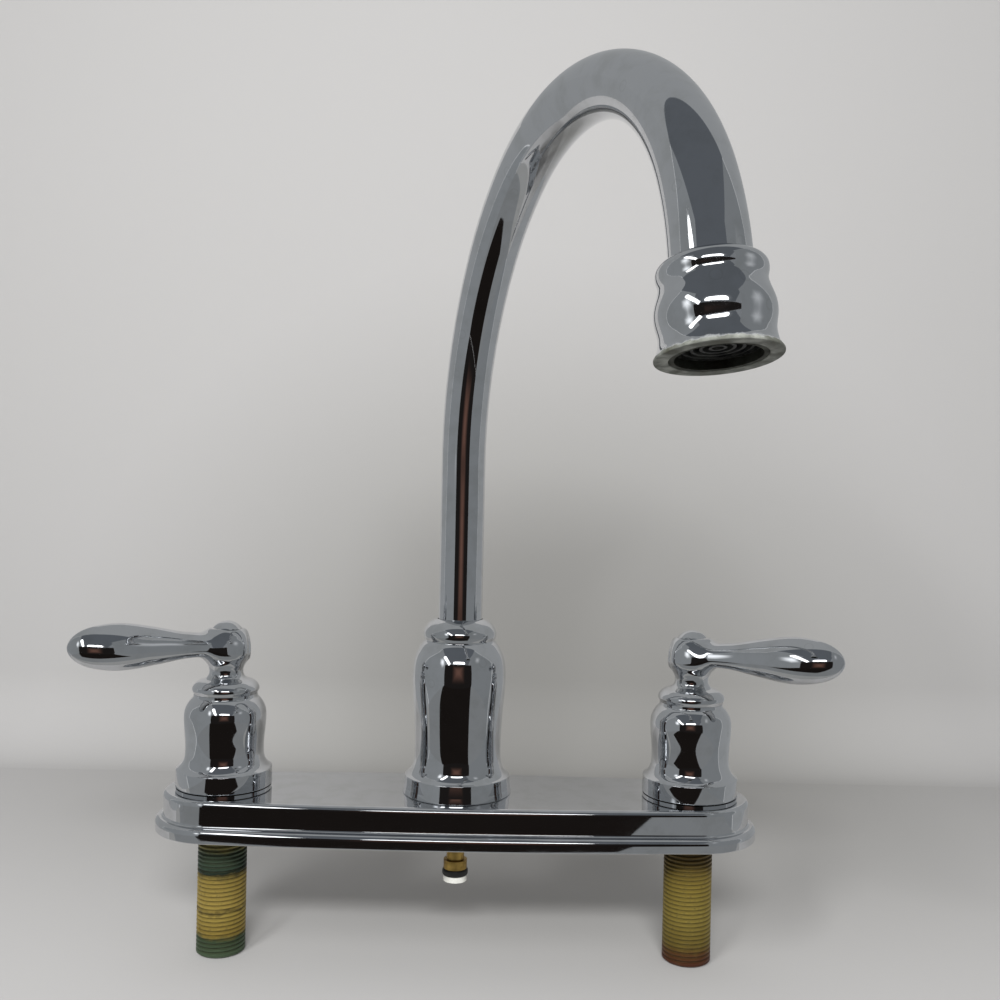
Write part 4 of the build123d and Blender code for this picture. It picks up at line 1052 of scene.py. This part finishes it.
    def sections(self, angle: np.ndarray) -> tuple[np.ndarray, np.ndarray, np.ndarray]:
        """Points of the lever's skin above its turned base.

        Formula: the skin's zero along each ray from the spine is found by halving.

        Args:
            angle: the rays' angles in each section, as one row.

        Returns:
            Distance out, distance across and height, section by angle.
        """
        out, up, lean = (line[:, None] for line in self.spine())
        ray = (np.cos(angle) * np.cos(lean), np.sin(angle) + 0.0 * lean,
               -np.cos(angle) * np.sin(lean))
        near, wide = np.zeros(ray[0].shape), np.full(ray[0].shape, self.widest)
        for _ in range(self.halvings):
            middle = 0.5 * (near + wide)
            inside = self.skin(out + middle * ray[0], middle * ray[1], up + middle * ray[2]) < 0.0
            near, wide = np.where(inside, middle, near), np.where(inside, wide, middle)
        return out + near * ray[0], near * ray[1], up + near * ray[2]

    def base(self) -> np.ndarray:
        """Turned profile of the boss in the bell and the collar on it, up to the neck."""
        boss = rounded([(0.0, self.boss_bottom, 0), (self.boss_radius, self.boss_bottom, 0.4),
                        (self.boss_radius, self.bell_top, 0),
                        (self.rim_radius, self.bell_top, 0.15), (*self.collar_knots[0], 0)], 4)
        profile = joined(boss, smooth_curve(self.collar_knots, start=(0.45, 1.0)))
        return profile[profile[:, 1] < self.base_top]

    def lever(self) -> None:
        """The lever with its collar in one mesh, bored for the stem and the screw."""
        angle = full_turn(self.columns)
        along, across, height = self.sections(angle)
        base, end, tip = self.base(), np.ones((1, self.columns)), self.depth_knots[-1][0]
        along = np.concatenate([base[:, :1] * np.cos(angle), along, tip * end])
        across = np.concatenate([base[:, :1] * np.sin(angle), across, 0.0 * end])
        tip_height = self.ball_height + tip * self.climb
        height = np.concatenate([base[:, 1:] + 0.0 * angle, height, tip_height * end])
        turn = math.radians(self.forward_angle)
        out_x, out_y = self.side.direction * math.cos(turn), -math.sin(turn)
        place = Placement((self.side.axis_x, 0.0, 0.0), (out_x, out_y, 0.0), (-out_y, out_x, 0.0))
        solid = grid_mesh(place.put(along, across, height), loop=False)
        low, high = self.bored
        bore = np.array([
            (0.0, low), (self.stem_bore, low), (self.stem_bore, self.stem_bore_top),
            (self.screw_bore, self.stem_bore_top), (self.screw_bore, self.screw_seat),
            (self.head_bore, self.screw_seat), (self.head_bore, high), (0.0, high)])
        mesh = cut_away(solid, [turned_mesh(bore, upright(self.side.axis_x), self.bore_columns)])
        prefix = self.side.prefix
        place_piece(f"{prefix}_chrome_lever", (f"{prefix}_lever",), mesh, self.body)

    def button(self) -> None:
        """Cap like a slice of a ball on the seat, with a hairline gap under its edge.

        Formula: a slice of half width w and height h is cut from a ball of radius (w^2 + h^2) / 2h.
        """
        stem = rounded([
            (0.0, self.button_stem_foot, 0), (self.button_stem, self.button_stem_foot, 0.4),
            (self.button_stem, self.seat + 0.1, 0), (self.button_radius - 0.15, self.seat + 0.1, 0),
            (self.button_radius, self.button_foot, 0)], 4)
        rise = self.button_top - self.button_foot
        ball = (self.button_radius**2 + rise**2) / (2.0 * rise)
        turn = np.linspace(math.asin(self.button_radius / ball), 0.0, self.dome_rows)
        dome = np.stack([ball * np.sin(turn), self.button_top - ball * (1.0 - np.cos(turn))],
                        axis=1)
        mesh = turned_mesh(joined(stem, dome), upright(self.side.axis_x), self.button_columns)
        prefix = self.side.prefix
        place_piece(f"{prefix}_cap_button", (f"{prefix}_plug_button",), mesh, self.body)

    def build(self) -> None:
        """Makes the three pieces that show."""
        self.bell()
        self.lever()
        self.button()


# ---------------------------------------------------------------- centre bell
@dataclass
class CentreBell:
    """Tall bell over the middle of the plate, from which the spout rises."""

    bottom: float = PLATE_TOP
    foot_radius: float = 23.6
    foot_bore: float = 20.8
    cove_foot: float = 21.9  # height up to which the foot keeps that bore
    body_bore: float = 16.94  # round the centre body
    body_foot: float = 27.5
    bushing_bore: float = 12.55
    bushing_foot: float = 52.0
    bushing_top: float = 89.0
    tube_bore: float = 9.83
    top: float = 91.7
    columns: int = 192
    body: str = "deck_unit"
    swell_knots: Knots = (
        (21.9, 24.75), (20.5, 26.1), (19.35, 28.6), (18.8, 32.5), (18.74, 37.7), (19.05, 46.0),
        (19.75, 56.0), (20.32, 65.0), (20.2, 70.2), (19.62, 74.2), (18.57, 77.3), (17.11, 79.9),
        (15.75, 81.75), (15.25, 82.5))
    collar_knots: Knots = (
        (15.3, 82.85), (15.78, 84.2), (15.93, 85.5), (15.6, 87.0), (14.9, 88.3), (13.3, 90.1),
        (11.2, 91.35), (9.95, 91.8))

    def build(self) -> None:
        """Turns the closed section: foot, cove, swell, groove, collar and the stepped bore."""
        low = self.bottom + HAIR
        foot = rounded([(self.foot_bore, low, 0), (self.foot_radius, low, 0.4), (23.1, 19.4, 2.5),
                        (22.62, 24.35, 0.5), (*self.swell_knots[0], 0)])
        swell = smooth_curve(self.swell_knots, start=(-1.0, 0.6), end=(-0.2, 1.0))
        collar = smooth_curve(self.collar_knots, start=(0.45, 1.0), end=(-1.0, 0.1))
        inside = rounded([
            (self.tube_bore, self.top, 0), (self.tube_bore, self.bushing_top, 0),
            (self.bushing_bore, self.bushing_top, 0.3), (self.bushing_bore, self.bushing_foot, 0),
            (self.body_bore, self.bushing_foot, 1.0), (self.body_bore, self.body_foot, 1.0),
            (self.foot_bore, self.cove_foot, 1.0), (self.foot_bore, self.bottom + 0.2, 0)], 4)
        mesh = turned_mesh(joined(foot, swell, collar, inside), upright(0.0), self.columns)
        place_piece("chrome_centre_bell", ("spout_bell",), mesh, self.body)


# ---------------------------------------------------------------- spout
@dataclass
class Spout:
    """Gooseneck tube of circular arcs that widens towards its outlet bell."""

    bottom: float = 65.9
    straight_top: float = 159.3
    widen_from: float = 91.8  # height from which the tube widens
    bends: Knots = (  # radius and degrees of each, from the foot on
        (149.5, 34.2), (113.0, 19.3), (76.1, 103.8), (103.9, 13.1))
    tail: float = 3.4  # straight end that shows above the outlet bell
    tuck: float = 8.0  # and the end hidden in it
    radius: float = 9.525
    end_radius: float = 12.04
    widening: float = 2.26  # power by which the radius grows over the length
    wall: float = 1.0
    columns: int = 112
    outlet_length: float = 28.45
    mouth: tuple[float, float] = (14.0, 12.0)  # radius round the aerator, and where it ends
    waterway: float = 10.0
    socket: tuple[float, float] = (12.09, 8.0)  # radius of the tube's socket and its depth
    spacing: float = 1.5  # between the rings of points
    outlet_columns: int = 176
    fine_steps: int = 12000  # steps in which the path is summed up
    body: str = "spout"
    bead_knots: Knots = (
        (12.2, 0.0), (13.7, 0.4), (15.2, 1.5), (15.87, 2.7), (16.0, 3.7), (15.93, 4.6),
        (15.72, 5.6), (15.54, 6.5), (15.5, 7.2))
    bulb_knots: Knots = (
        (15.5, 7.2), (15.62, 8.2), (16.05, 9.9), (16.65, 11.8), (17.1, 13.6), (17.3, 15.4),
        (17.25, 16.9), (16.97, 18.7), (16.6, 20.7), (16.5, 22.0), (16.68, 24.0), (17.2, 26.0),
        (18.1, 27.6))

    def spine(self) -> tuple[np.ndarray, np.ndarray, np.ndarray]:
        """Path of the tube in its own upright plane.

        Formula: the tube's lean from upright grows evenly along each bend, by one radian per
        radius of length, and the path is the running integral of (sine, cosine) of the lean.

        Returns:
            Length along the path, points as forward and up, and the lean in radians.
        """
        lengths = [radius * math.radians(angle) for radius, angle in self.bends]
        marks = np.cumsum([0.0, self.straight_top - self.bottom, *lengths, self.tail + self.tuck])
        leans = np.concatenate([[0.0, 0.0],
                                np.cumsum([math.radians(angle) for _, angle in self.bends])])
        leans = np.append(leans, leans[-1])
        fine = np.linspace(0.0, marks[-1], self.fine_steps + 1)
        lean = np.interp(fine, marks, leans)
        step = fine[1]
        slope = np.stack([np.sin(lean), np.cos(lean)], axis=1)
        points = np.concatenate([[[0.0, 0.0]],
                                 np.cumsum(0.5 * (slope[1:] + slope[:-1]) * step, axis=0)])
        points[:, 1] += self.bottom
        keep = np.unique(np.linspace(0, self.fine_steps, int(marks[-1] / self.spacing)).astype(int))
        return fine[keep], points[keep], lean[keep]

    def heading(self) -> tuple[np.ndarray, np.ndarray, np.ndarray]:
        """Unit vectors forward in the spout's upright plane, to its side, and up."""
        turn = math.radians(SPOUT_TURN)
        forward = np.array([math.sin(turn), -math.cos(turn), 0.0])
        side = np.array([-math.cos(turn), -math.sin(turn), 0.0])
        return forward, side, np.array([0.0, 0.0, 1.0])

    def tube(self) -> None:
        """Carries a circle along the spine, out along the wall and back along the bore."""
        length, points, lean = self.spine()
        forward, side, up = self.heading()
        centre = points[:, :1] * forward + points[:, 1:] * up
        square = np.cos(lean)[:, None] * forward - np.sin(lean)[:, None] * up
        shown = length[-1] - self.tuck - (self.widen_from - self.bottom)
        share = np.clip((length - (self.widen_from - self.bottom)) / shown, 0.0, 1.0)
        outer = self.radius + (self.end_radius - self.radius) * share**self.widening
        angle = full_turn(self.columns)[..., None]
        ring = np.cos(angle) * side + np.sin(angle) * square[:, None, :]
        outside = centre[:, None, :] + outer[:, None, None] * ring
        inside = centre[:, None, :] + (outer - self.wall)[:, None, None] * ring
        mesh = grid_mesh(np.concatenate([outside, inside[::-1]]), loop=True)
        place_piece("chrome_spout_tube", ("spout_tube",), mesh, self.body)

    def outlet_place(self) -> Placement:
        """Frame of the outlet bell: at the tube's visible end, along the way the water leaves."""
        _, points, leans = self.spine()
        forward, side, up = self.heading()
        lean = float(leans[-1])
        along = math.sin(lean) * forward + math.cos(lean) * up
        end = points[-1, 0] * forward + points[-1, 1] * up - self.tuck * along
        return Placement(tuple(end), tuple(side), tuple(np.cross(along, side)), tuple(along))

    def outlet(self) -> None:
        """Turned outlet bell: bead, groove, bulb, waist and flared lip round the aerator."""
        bead = smooth_curve(self.bead_knots, start=(1.0, 0.15), end=(0.0, 1.0), step=0.3)
        bulb = smooth_curve(self.bulb_knots, start=(0.0, 1.0), end=(0.7, 1.0), step=0.3)
        mouth, inner_end = self.mouth
        socket, depth = self.socket
        lip = rounded([
            (*self.bulb_knots[-1], 0), (18.2, 27.85, 0.2), (18.13, self.outlet_length, 0.3),
            (mouth, self.outlet_length, 0.25), (mouth, inner_end, 0), (self.waterway, inner_end, 0),
            (self.waterway, depth, 0), (socket, depth, 0), (socket, 0.2, 0)], 6)
        place = self.outlet_place()
        mesh = turned_mesh(joined(bead, bulb, lip), place, self.outlet_columns)
        finish = LimedChrome("chrome_plate_with_limescale", to_outlet=place.matrix().inverted())
        place_piece("chrome_outlet_bell", ("outlet_bell",), mesh, self.body, finish)

    def build(self) -> None:
        """Makes the tube and its outlet."""
        self.tube()
        self.outlet()


# ---------------------------------------------------------------- pieces that keep their CAD shape
@dataclass
class InnerParts:
    """CAD nodes whose shapes are right as they are, with the finish of each."""

    shared: dict[Finish, tuple[str, ...]] = field(default_factory=lambda: {
        LIMED_BRASS: ("aerator_housing",),
        BRASS: ("center_body", "center_locknut", "spray_nipple", "spout_insert"),
        RUBBER: ("deck_gasket", "spout_o_rings", "spray_nipple_o_ring", "aerator_washer"),
        WHITE_PLASTIC: ("spout_thrust_washer", "spout_bushing", "spray_nipple_nose",
                        "diverter_cage", "diverter_plunger"),
        BLACK_PLASTIC: ("aerator_insert",),
        STEEL: ("aerator_screen",),
    })
    each_side: dict[Finish, tuple[str, ...]] = field(default_factory=lambda: {
        CHROME: ("base_ring",),
        BRASS: ("locknut", "cartridge_nut", "cartridge_shell", "stem"),
        COPPER: ("supply_tube",),
        RUBBER: ("seat_seal", "stem_o_ring"),
        CERAMIC: ("fixed_disc", "moving_disc"),
        WHITE_PLASTIC: ("spline_bush",),
        STEEL: ("handle_screw",),
    })

    def build(self) -> None:
        """Gives every one of these nodes its material."""
        names = dict(self.shared)
        for finish, parts in self.each_side.items():
            pairs = tuple(f"{side.prefix}_{part}" for side in Side for part in parts)
            names[finish] = names.get(finish, ()) + pairs
        for finish, nodes in names.items():
            for node in nodes:
                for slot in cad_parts[node].material_slots:
                    slot.material = finish.material()
            log.info("%s on %d CAD nodes", finish.name, len(nodes))


# ---------------------------------------------------------------- camera and light
@dataclass
class PhotoCamera:
    """Pinhole camera solved on the outline of the faucet, for a square picture."""

    focal_pixels: float = 1027.43
    picture_pixels: float = 1000.0
    sensor: float = 36.0  # mm across the picture
    clip: tuple[float, float] = (0.01, 20.0)  # metres
    place: Point = (14.72, -448.84, 144.13)
    yaw: float = 0.196  # degrees towards +X from straight ahead
    pitch: float = -0.038  # upwards
    roll: float = 1.194  # the camera's right side up

    def build(self) -> None:
        """Creates the camera and makes it the scene's."""
        yaw, pitch, roll = (math.radians(angle) for angle in (self.yaw, self.pitch, self.roll))
        level = Vector((math.sin(yaw), math.cos(yaw), 0.0))
        up = Vector((0.0, 0.0, 1.0))
        ahead = level * math.cos(pitch) + up * math.sin(pitch)
        right = Vector((math.cos(yaw), -math.sin(yaw), 0.0))
        over = up * math.cos(pitch) - level * math.sin(pitch)
        across = right * math.cos(roll) + over * math.sin(roll)
        upward = over * math.cos(roll) - right * math.sin(roll)
        data = bpy.data.cameras.new("photo_camera")
        data.sensor_width = self.sensor
        data.lens = self.focal_pixels * self.sensor / self.picture_pixels
        data.clip_start, data.clip_end = self.clip
        camera = new_object("photo_camera", data)
        camera.matrix_world = Matrix.Translation(Vector(self.place) * MM) @ Matrix(
            (across, upward, -ahead)).transposed().to_4x4()
        bpy.context.scene.camera = camera


class Axis(IntEnum):
    """The axis that a card is square to."""

    X = 0
    Y = 1
    Z = 2


def square_to(axis: Axis, place: float, *corners: tuple[float, float]) -> tuple[Point, ...]:
    """Corners of a card square to an axis at a place on it, from their two other coordinates."""
    return tuple(map(tuple, np.insert(np.array(corners, float), axis, place, axis=1).tolist()))


@dataclass(frozen=True)
class Card:
    """Flat card that only mirrors see: one wall, gap or panel of the tent.

    The colour times the strength is what a perfect mirror would show there.
    """

    name: str
    outline: tuple[Point, ...]  # corners in millimetres, in order
    colour: str
    strength: float = 1.0
    soft: bool = False  # whether it fades out from its middle to its outline
    ribbon: bool = False  # whether the outline's two halves are the sides of a bent strip
    soft_rings: int = 9

    def build(self) -> None:
        """Makes the card as rings that shrink to its middle, or as a strip between two lines."""
        outline = np.array(self.outline, float)
        if self.ribbon:
            half = len(outline) // 2
            shares = np.ones(2)
            points = np.stack([outline[:half], outline[:half - 1:-1]])
        else:
            middle = outline.mean(axis=0)
            shares = np.linspace(1.0, 0.0, self.soft_rings if self.soft else 2)
            points = middle + shares[:, None, None] * (outline - middle)
        number = np.arange(points.shape[0] * points.shape[1]).reshape(points.shape[:2])
        after = np.roll(number, -1, axis=1)
        if self.ribbon:
            number, after = number[:, :-1], after[:, :-1]
        quads = np.stack([number[:-1], after[:-1], after[1:], number[1:]], axis=-1).reshape(-1, 4)
        mesh = bpy.data.meshes.new(self.name)
        mesh.from_pydata((points.reshape(-1, 3) * MM).tolist(), [], quads.tolist())
        fade = mesh.attributes.new("fade", "FLOAT", "POINT")
        fade.data.foreach_set("value", np.repeat(1.0 - shares, points.shape[1]))
        piece = new_object(self.name, mesh)
        piece.visible_camera = piece.visible_diffuse = piece.visible_shadow = False
        mesh.materials.append(self.glow())

    def glow(self) -> bpy.types.Material:
        """Even light of the card's colour, or light that fades into what is behind it."""
        made = bpy.data.materials.new(self.name)
        tree = empty_tree(made)
        shader = add_node(tree, "Emission",
                          {"Color": linear(self.colour), "Strength": self.strength})
        if self.soft:
            fade = add_node(tree, "Attribute", output="Fac", attribute_name="fade")
            smooth = add_node(tree, "MapRange", {"Value": fade}, interpolation_type="SMOOTHSTEP")
            clear = add_node(tree, "BsdfTransparent")
            shader = add_node(tree, "MixShader", {0: smooth, 1: clear, 2: shader})
        add_node(tree, "OutputMaterial", {"Surface": shader})
        return made


@dataclass(frozen=True)
class LightPanel:
    """Long light panel with round ends: a card for the chrome and a lamp for all the rest."""

    name: str
    middle: Point
    end: Point  # the tip of one of its round ends
    breadth: float
    watts: float
    brightness: float = 5.0
    target: Point = (0.0, 0.0, 100.0)
    lamp_distance: float = 1.8  # times as far from the target as the card, for more even light
    cap_points: int = 17  # along each round end
    lamp_lift: float = 170.0  # and this much higher, so that the floor before it isn't burnt out

    def axes(self) -> tuple[np.ndarray, np.ndarray, np.ndarray]:
        """Unit vectors along the panel, across it, and from the faucet to it."""
        along = np.array(self.end) - np.array(self.middle)
        along /= np.linalg.norm(along)
        away = np.array(self.middle) - np.array(self.target)
        away -= along * (away @ along)
        away /= np.linalg.norm(away)
        return along, np.cross(away, along), away

    def outline(self) -> np.ndarray:
        """Points of the panel's edge: two half circles about the middles of its round ends."""
        along, across, _ = self.axes()
        radius = 0.5 * self.breadth
        half = float(np.linalg.norm(np.array(self.end) - np.array(self.middle))) - radius
        turn = np.linspace(-math.pi / 2, math.pi / 2, self.cap_points)
        cap = radius * np.stack([np.cos(turn), np.sin(turn)], axis=1) + (half, 0.0)
        flat = np.concatenate([cap, -cap])
        return np.array(self.middle) + flat[:, :1] * along + flat[:, 1:] * across

    def build(self) -> None:
        """Puts up the card and the lamp."""
        outline = self.outline()
        Card(self.name, tuple(map(tuple, outline.tolist())), "#FFFFFF", self.brightness).build()
        data = bpy.data.lights.new(self.name, "AREA")
        data.shape = "ELLIPSE"
        middle, target = np.array(self.middle), np.array(self.target)
        length = 2.0 * float(np.linalg.norm(np.array(self.end) - middle))
        data.size = length * self.lamp_distance * MM
        data.size_y = self.breadth * self.lamp_distance * MM
        data.energy = self.watts
        place = target + self.lamp_distance * (middle - target)
        place[2] += self.lamp_lift
        lamp = new_object(self.name + "_lamp", data)
        stand = Matrix(self.axes()).transposed().to_4x4()
        lamp.matrix_world = Matrix.Translation(Vector(place.tolist()) * MM) @ stand
        lamp.visible_camera = lamp.visible_glossy = False


@dataclass
class LightTent:
    """Pale floor and back wall, and the cloth walls, open front and light panels of a photo tent.

    Camera and light see only the floor and the back wall, which light passes from behind. The rest
    of the tent shows in the chrome alone.
    """

    floor_height: float = -54.7
    wall_distance: float = 345.0
    cove_radius: float = 60.0
    cove_rows: int = 16
    reach: float = 1600.0
    left: float = -345.0
    right: float = 320.0
    front: float = -510.0
    ceiling: float = 530.0
    opening_top: float = 256.0
    slate_edge: float = -165.0  # where the dark front of the ceiling ends
    slate_skew: float = 30.0  # by which that edge comes forward from left to right
    flap_foot: tuple[float, float] = (-191.0, 229.0)  # X of the lower corners of the front's flap
    flap_side: float = 440.0  # height at which the flap meets the side walls
    line_width: float = 5.0  # of the bright lines where cloth meets paper
    line_colour: str = "#F4F5F6"
    paper_colour: str = "#B0AFAE"
    # Painted shade: the paper is darkened round a point low behind the faucet, in place of a cast
    # shadow.
    painted_shade_colour: str = "#92918E"  # painted shade: the paper's colour in the middle of a soft darker patch low behind the faucet
    painted_shade_middle: Point = (50.0, 300.0, -40.0)
    painted_shade_radius: float = 60.0  # from its middle, where the painted shade is still full
    painted_shade_reach: float = 420.0  # and where it ends
    cloud_size: float = 150.0
    cloudiness: float = 0.06
    wall_paper: str = "#A4A6A7"
    slate: str = "#666A6F"
    glow_colour: str = "#E6E8EA"
    behind_tent: str = "#C4C2BF"  # what camera and mirrors see past the backdrop
    fill_colour: str = "#F6F6F7"
    fill: float = 0.54  # strength of the even light
    # borders between the cloth in front and the paper behind, as Y and Z up each side wall
    left_border: Knots = (
        (-75.0, -54.0), (-30.0, -12.0), (35.0, 20.0), (30.0, 70.0), (25.0, 118.0), (-33.0, 228.0),
        (-139.0, 432.0), (-165.0, 530.0))
    right_border: Knots = (
        (-49.0, -54.0), (-22.0, 30.0), (2.0, 137.0), (-62.0, 238.0), (-185.0, 494.0),
        (-195.0, 530.0))

    def paper(self) -> bpy.types.Material:
        """Matt pale paper, very slightly cloudy, painted darker low at the back, clear from behind.
        """
        made = bpy.data.materials.new("backdrop_paper")
        tree = empty_tree(made)
        place = add_node(tree, "TexCoord", output="Object")
        cloud = add_node(tree, "TexNoise",
                         {"Vector": place, "Scale": per_mm(self.cloud_size), "Detail": 3.0})
        # painted shade: the colour runs from the shaded colour round this point out to the plain
        # paper
        middle = tuple(value * MM for value in self.painted_shade_middle)
        away = add_node(tree, "VectorMath", {0: place, 1: middle}, "Value", operation="DISTANCE")
        light = add_node(tree, "MapRange", {
            "Value": away, "From Min": self.painted_shade_radius * MM, "From Max": self.painted_shade_reach * MM},
            interpolation_type="SMOOTHSTEP")
        cloud_and_painted_shade = add_node(tree, "Math", {0: cloud, 1: self.cloudiness, 2: light},
                           operation="MULTIPLY_ADD")
        colour = add_node(tree, "ValToRGB", {"Fac": cloud_and_painted_shade},
                          stops=((0.0, self.painted_shade_colour), (1.0, self.paper_colour)))
        matt = add_node(tree, "BsdfDiffuse", {"Color": colour})
        behind = add_node(tree, "NewGeometry", output="Backfacing")
        clear = add_node(tree, "BsdfTransparent")
        add_node(tree, "OutputMaterial",
                 {"Surface": add_node(tree, "MixShader", {0: behind, 1: matt, 2: clear})})
        return made

    def sheet(self, name: str, line: np.ndarray, paper: bpy.types.Material) -> None:
        """Paper carried along X over a line of points in Y and Z, its front side up and forward.

        Args:
            name: name of the sheet.
            line: rows of Y and Z in millimetres, from the front back and up.
            paper: its material.
        """
        ends = [np.column_stack([0.0 * line[:, 0] + x, line]) for x in (-self.reach, self.reach)]
        rows = np.arange(len(line) - 1)
        faces = np.stack([rows, rows + len(line), rows + 1 + len(line), rows + 1], axis=1)
        mesh = bpy.data.meshes.new(name)
        mesh.from_pydata((np.concatenate(ends) * MM).tolist(), [], faces.tolist())
        mesh.shade_smooth()
        mesh.materials.append(paper)
        new_object(name, mesh)

    def backdrop(self) -> None:
        """Floor that runs on under the coved back wall."""
        paper = self.paper()
        turn = np.linspace(0.0, math.pi / 2, self.cove_rows)
        cove = np.stack([self.wall_distance - self.cove_radius * (1.0 - np.sin(turn)),
                         self.floor_height + self.cove_radius * (1.0 - np.cos(turn))], axis=1)
        self.sheet("floor", np.array([(-self.reach, self.floor_height),
                                      (self.reach, self.floor_height)]), paper)
        self.sheet("back_wall", np.concatenate([cove, [[self.wall_distance, self.reach]]]), paper)

    def side_wall(
        self, name: str, x: float, border: Knots, cloth: str, edge: float
    ) -> tuple[Card, ...]:
        """One side of the tent: paper behind, darker cloth in front and a bright line between.

        Args:
            name: start of the cards' names.
            x: the wall's place.
            border: Y and Z of the line between cloth and paper, from the floor up.
            cloth: colour of the cloth.
            edge: brightness of the line.

        Returns:
            The three cards, from the outside in.
        """
        inner = x - math.copysign(1.0, x)
        front, back, low, top = self.front, self.wall_distance, self.floor_height, self.ceiling
        before = tuple((y - self.line_width, z) for y, z in border)
        return (
            Card(name + "_paper",
                 square_to(Axis.X, x, (front, low), (back, low), (back, top), (front, top)),
                 self.wall_paper),
            Card(name + "_cloth", square_to(Axis.X, inner, *before, (front, top), (front, low)),
                 cloth),
            Card(name + "_edge", square_to(Axis.X, inner, *before, *border[::-1]), self.line_colour,
                 edge, ribbon=True),
        )

    def walls(self) -> tuple[Card, ...]:
        """The cards that close the tent for the chrome, from the outside in."""
        left, right, front, top = self.left, self.right, self.front, self.ceiling
        back, gap = self.wall_distance, self.opening_top
        low, slate = self.floor_height, self.slate_edge
        flap_left, flap_right = self.flap_foot
        return (
            *self.side_wall("left", left, self.left_border, "#96999B", 1.0),
            *self.side_wall("right", right, self.right_border, "#8B8E90", 0.8),
            Card("ceiling_paper", square_to(
                Axis.Z, top, (left, slate), (right, slate - self.slate_skew), (right, back),
                (left, back)),
                "#A6A8A9"),
            Card("ceiling_slate", square_to(
                Axis.Z, top, (left, front), (right, front), (right, slate - self.slate_skew),
                (left, slate)),
                self.slate),
            Card("front_flap", square_to(
                Axis.Y, front, (flap_left, gap), (flap_right, gap + 4), (right, self.flap_side),
                (right, top), (left, top), (left, self.flap_side)), self.slate),
            Card("front_sides", square_to(
                Axis.Y, front - 2, (left, gap), (right, gap), (right, top), (left, top)),
                "#8F9295"),
            Card("open_front", square_to(
                Axis.Y, front - 3, (left, low), (right, low), (right, gap), (left, gap)),
                "#221F1E"),
            Card("warm_room", square_to(
                Axis.Y, front, (-150, -30), (150, -30), (150, 235), (-150, 235)), "#74554A",
                soft=True),
            Card("side_floor", square_to(
                Axis.Z, low + 0.2, (left, front), (right, front), (right, -36), (left, -36)),
                "#8E9091"),
            Card("near_floor", square_to(
                Axis.Z, low + 0.5, (left, -75), (-140, -90), (140, -95), (right, -49), (right, -36),
                (left, -36)),
                "#A8A8A6"),
            Card("open_floor", square_to(
                Axis.Z, low + 0.8, (-370, front), (300, front), (100, -190), (-79, -180),
                (-215, -195)), "#1E1A18"),
        )

    def glows(self) -> tuple[Card, ...]:
        """Soft light that spreads round the panels on the cloth behind them."""
        return (
            Card("long_panel_glow", square_to(
                Axis.Y, self.front + 1, (-190, 295), (-160, 250), (10, 243), (180, 250), (210, 295),
                (180, 355), (10, 370), (-160, 355)), self.glow_colour, 1.0, soft=True),
            Card("slanted_panel_glow", square_to(
                Axis.X, self.left + 3, (-508, 210), (-400, 130), (-290, 200), (-250, 330),
                (-330, 420), (-450, 390)), self.glow_colour, 2.0, soft=True),
            Card("right_wall_glow", square_to(
                Axis.X, self.right - 3, (-360, 300), (-320, 220), (-230, 190), (-160, 260),
                (-170, 350), (-270, 400)), "#D0D2D4", 0.9, soft=True),
        )

    def world(self) -> None:
        """Even ambient light; camera, mirror and glass rays see the backdrop's own tone."""
        world = bpy.data.worlds.new("tent_light")
        bpy.context.scene.world = world
        tree = empty_tree(world)
        camera = add_node(tree, "LightPath", output="Is Camera Ray")
        mirror = camera.node.outputs["Is Glossy Ray"]
        glass = camera.node.outputs["Is Transmission Ray"]
        seen = add_node(tree, "Math", {0: camera, 1: mirror}, operation="MAXIMUM")
        seen = add_node(tree, "Math", {0: seen, 1: glass}, operation="MAXIMUM")
        shown = add_node(tree, "Background", {"Color": linear(self.behind_tent), "Strength": 1.0})
        fill = add_node(tree, "Background",
                        {"Color": linear(self.fill_colour), "Strength": self.fill})
        add_node(tree, "OutputWorld",
                 {"Surface": add_node(tree, "MixShader", {0: seen, 1: fill, 2: shown})})

    def build(self) -> None:
        """Puts up the backdrop, the cards, the light panels and the world."""
        self.backdrop()
        self.world()
        for card in (*self.walls(), *self.glows()):
            card.build()
        LightPanel("long_panel", (10.0, -505.0, 285.0), (145.0, -505.0, 285.0), breadth=85.0,
                   watts=11.5).build()
        LightPanel("slanted_panel", (-236.5, -410.0, 315.0), (-265.0, -280.0, 390.0), breadth=60.0,
                   watts=5.5, brightness=3.5).build()


def main() -> None:
    """Builds the faucet, the camera and the tent."""
    logging.basicConfig(level=logging.INFO, format="%(name)s %(message)s")
    bpy.context.scene.view_settings.view_transform = "Standard"
    PhotoCamera().build()
    DeckPlate().build()
    CentreBell().build()
    for side in Side:
        ValveBody(side).build()
        Handle(side).build()
    Spout().build()
    InnerParts().build()
    LightTent().build()


if __name__ == "__main__":
    main()
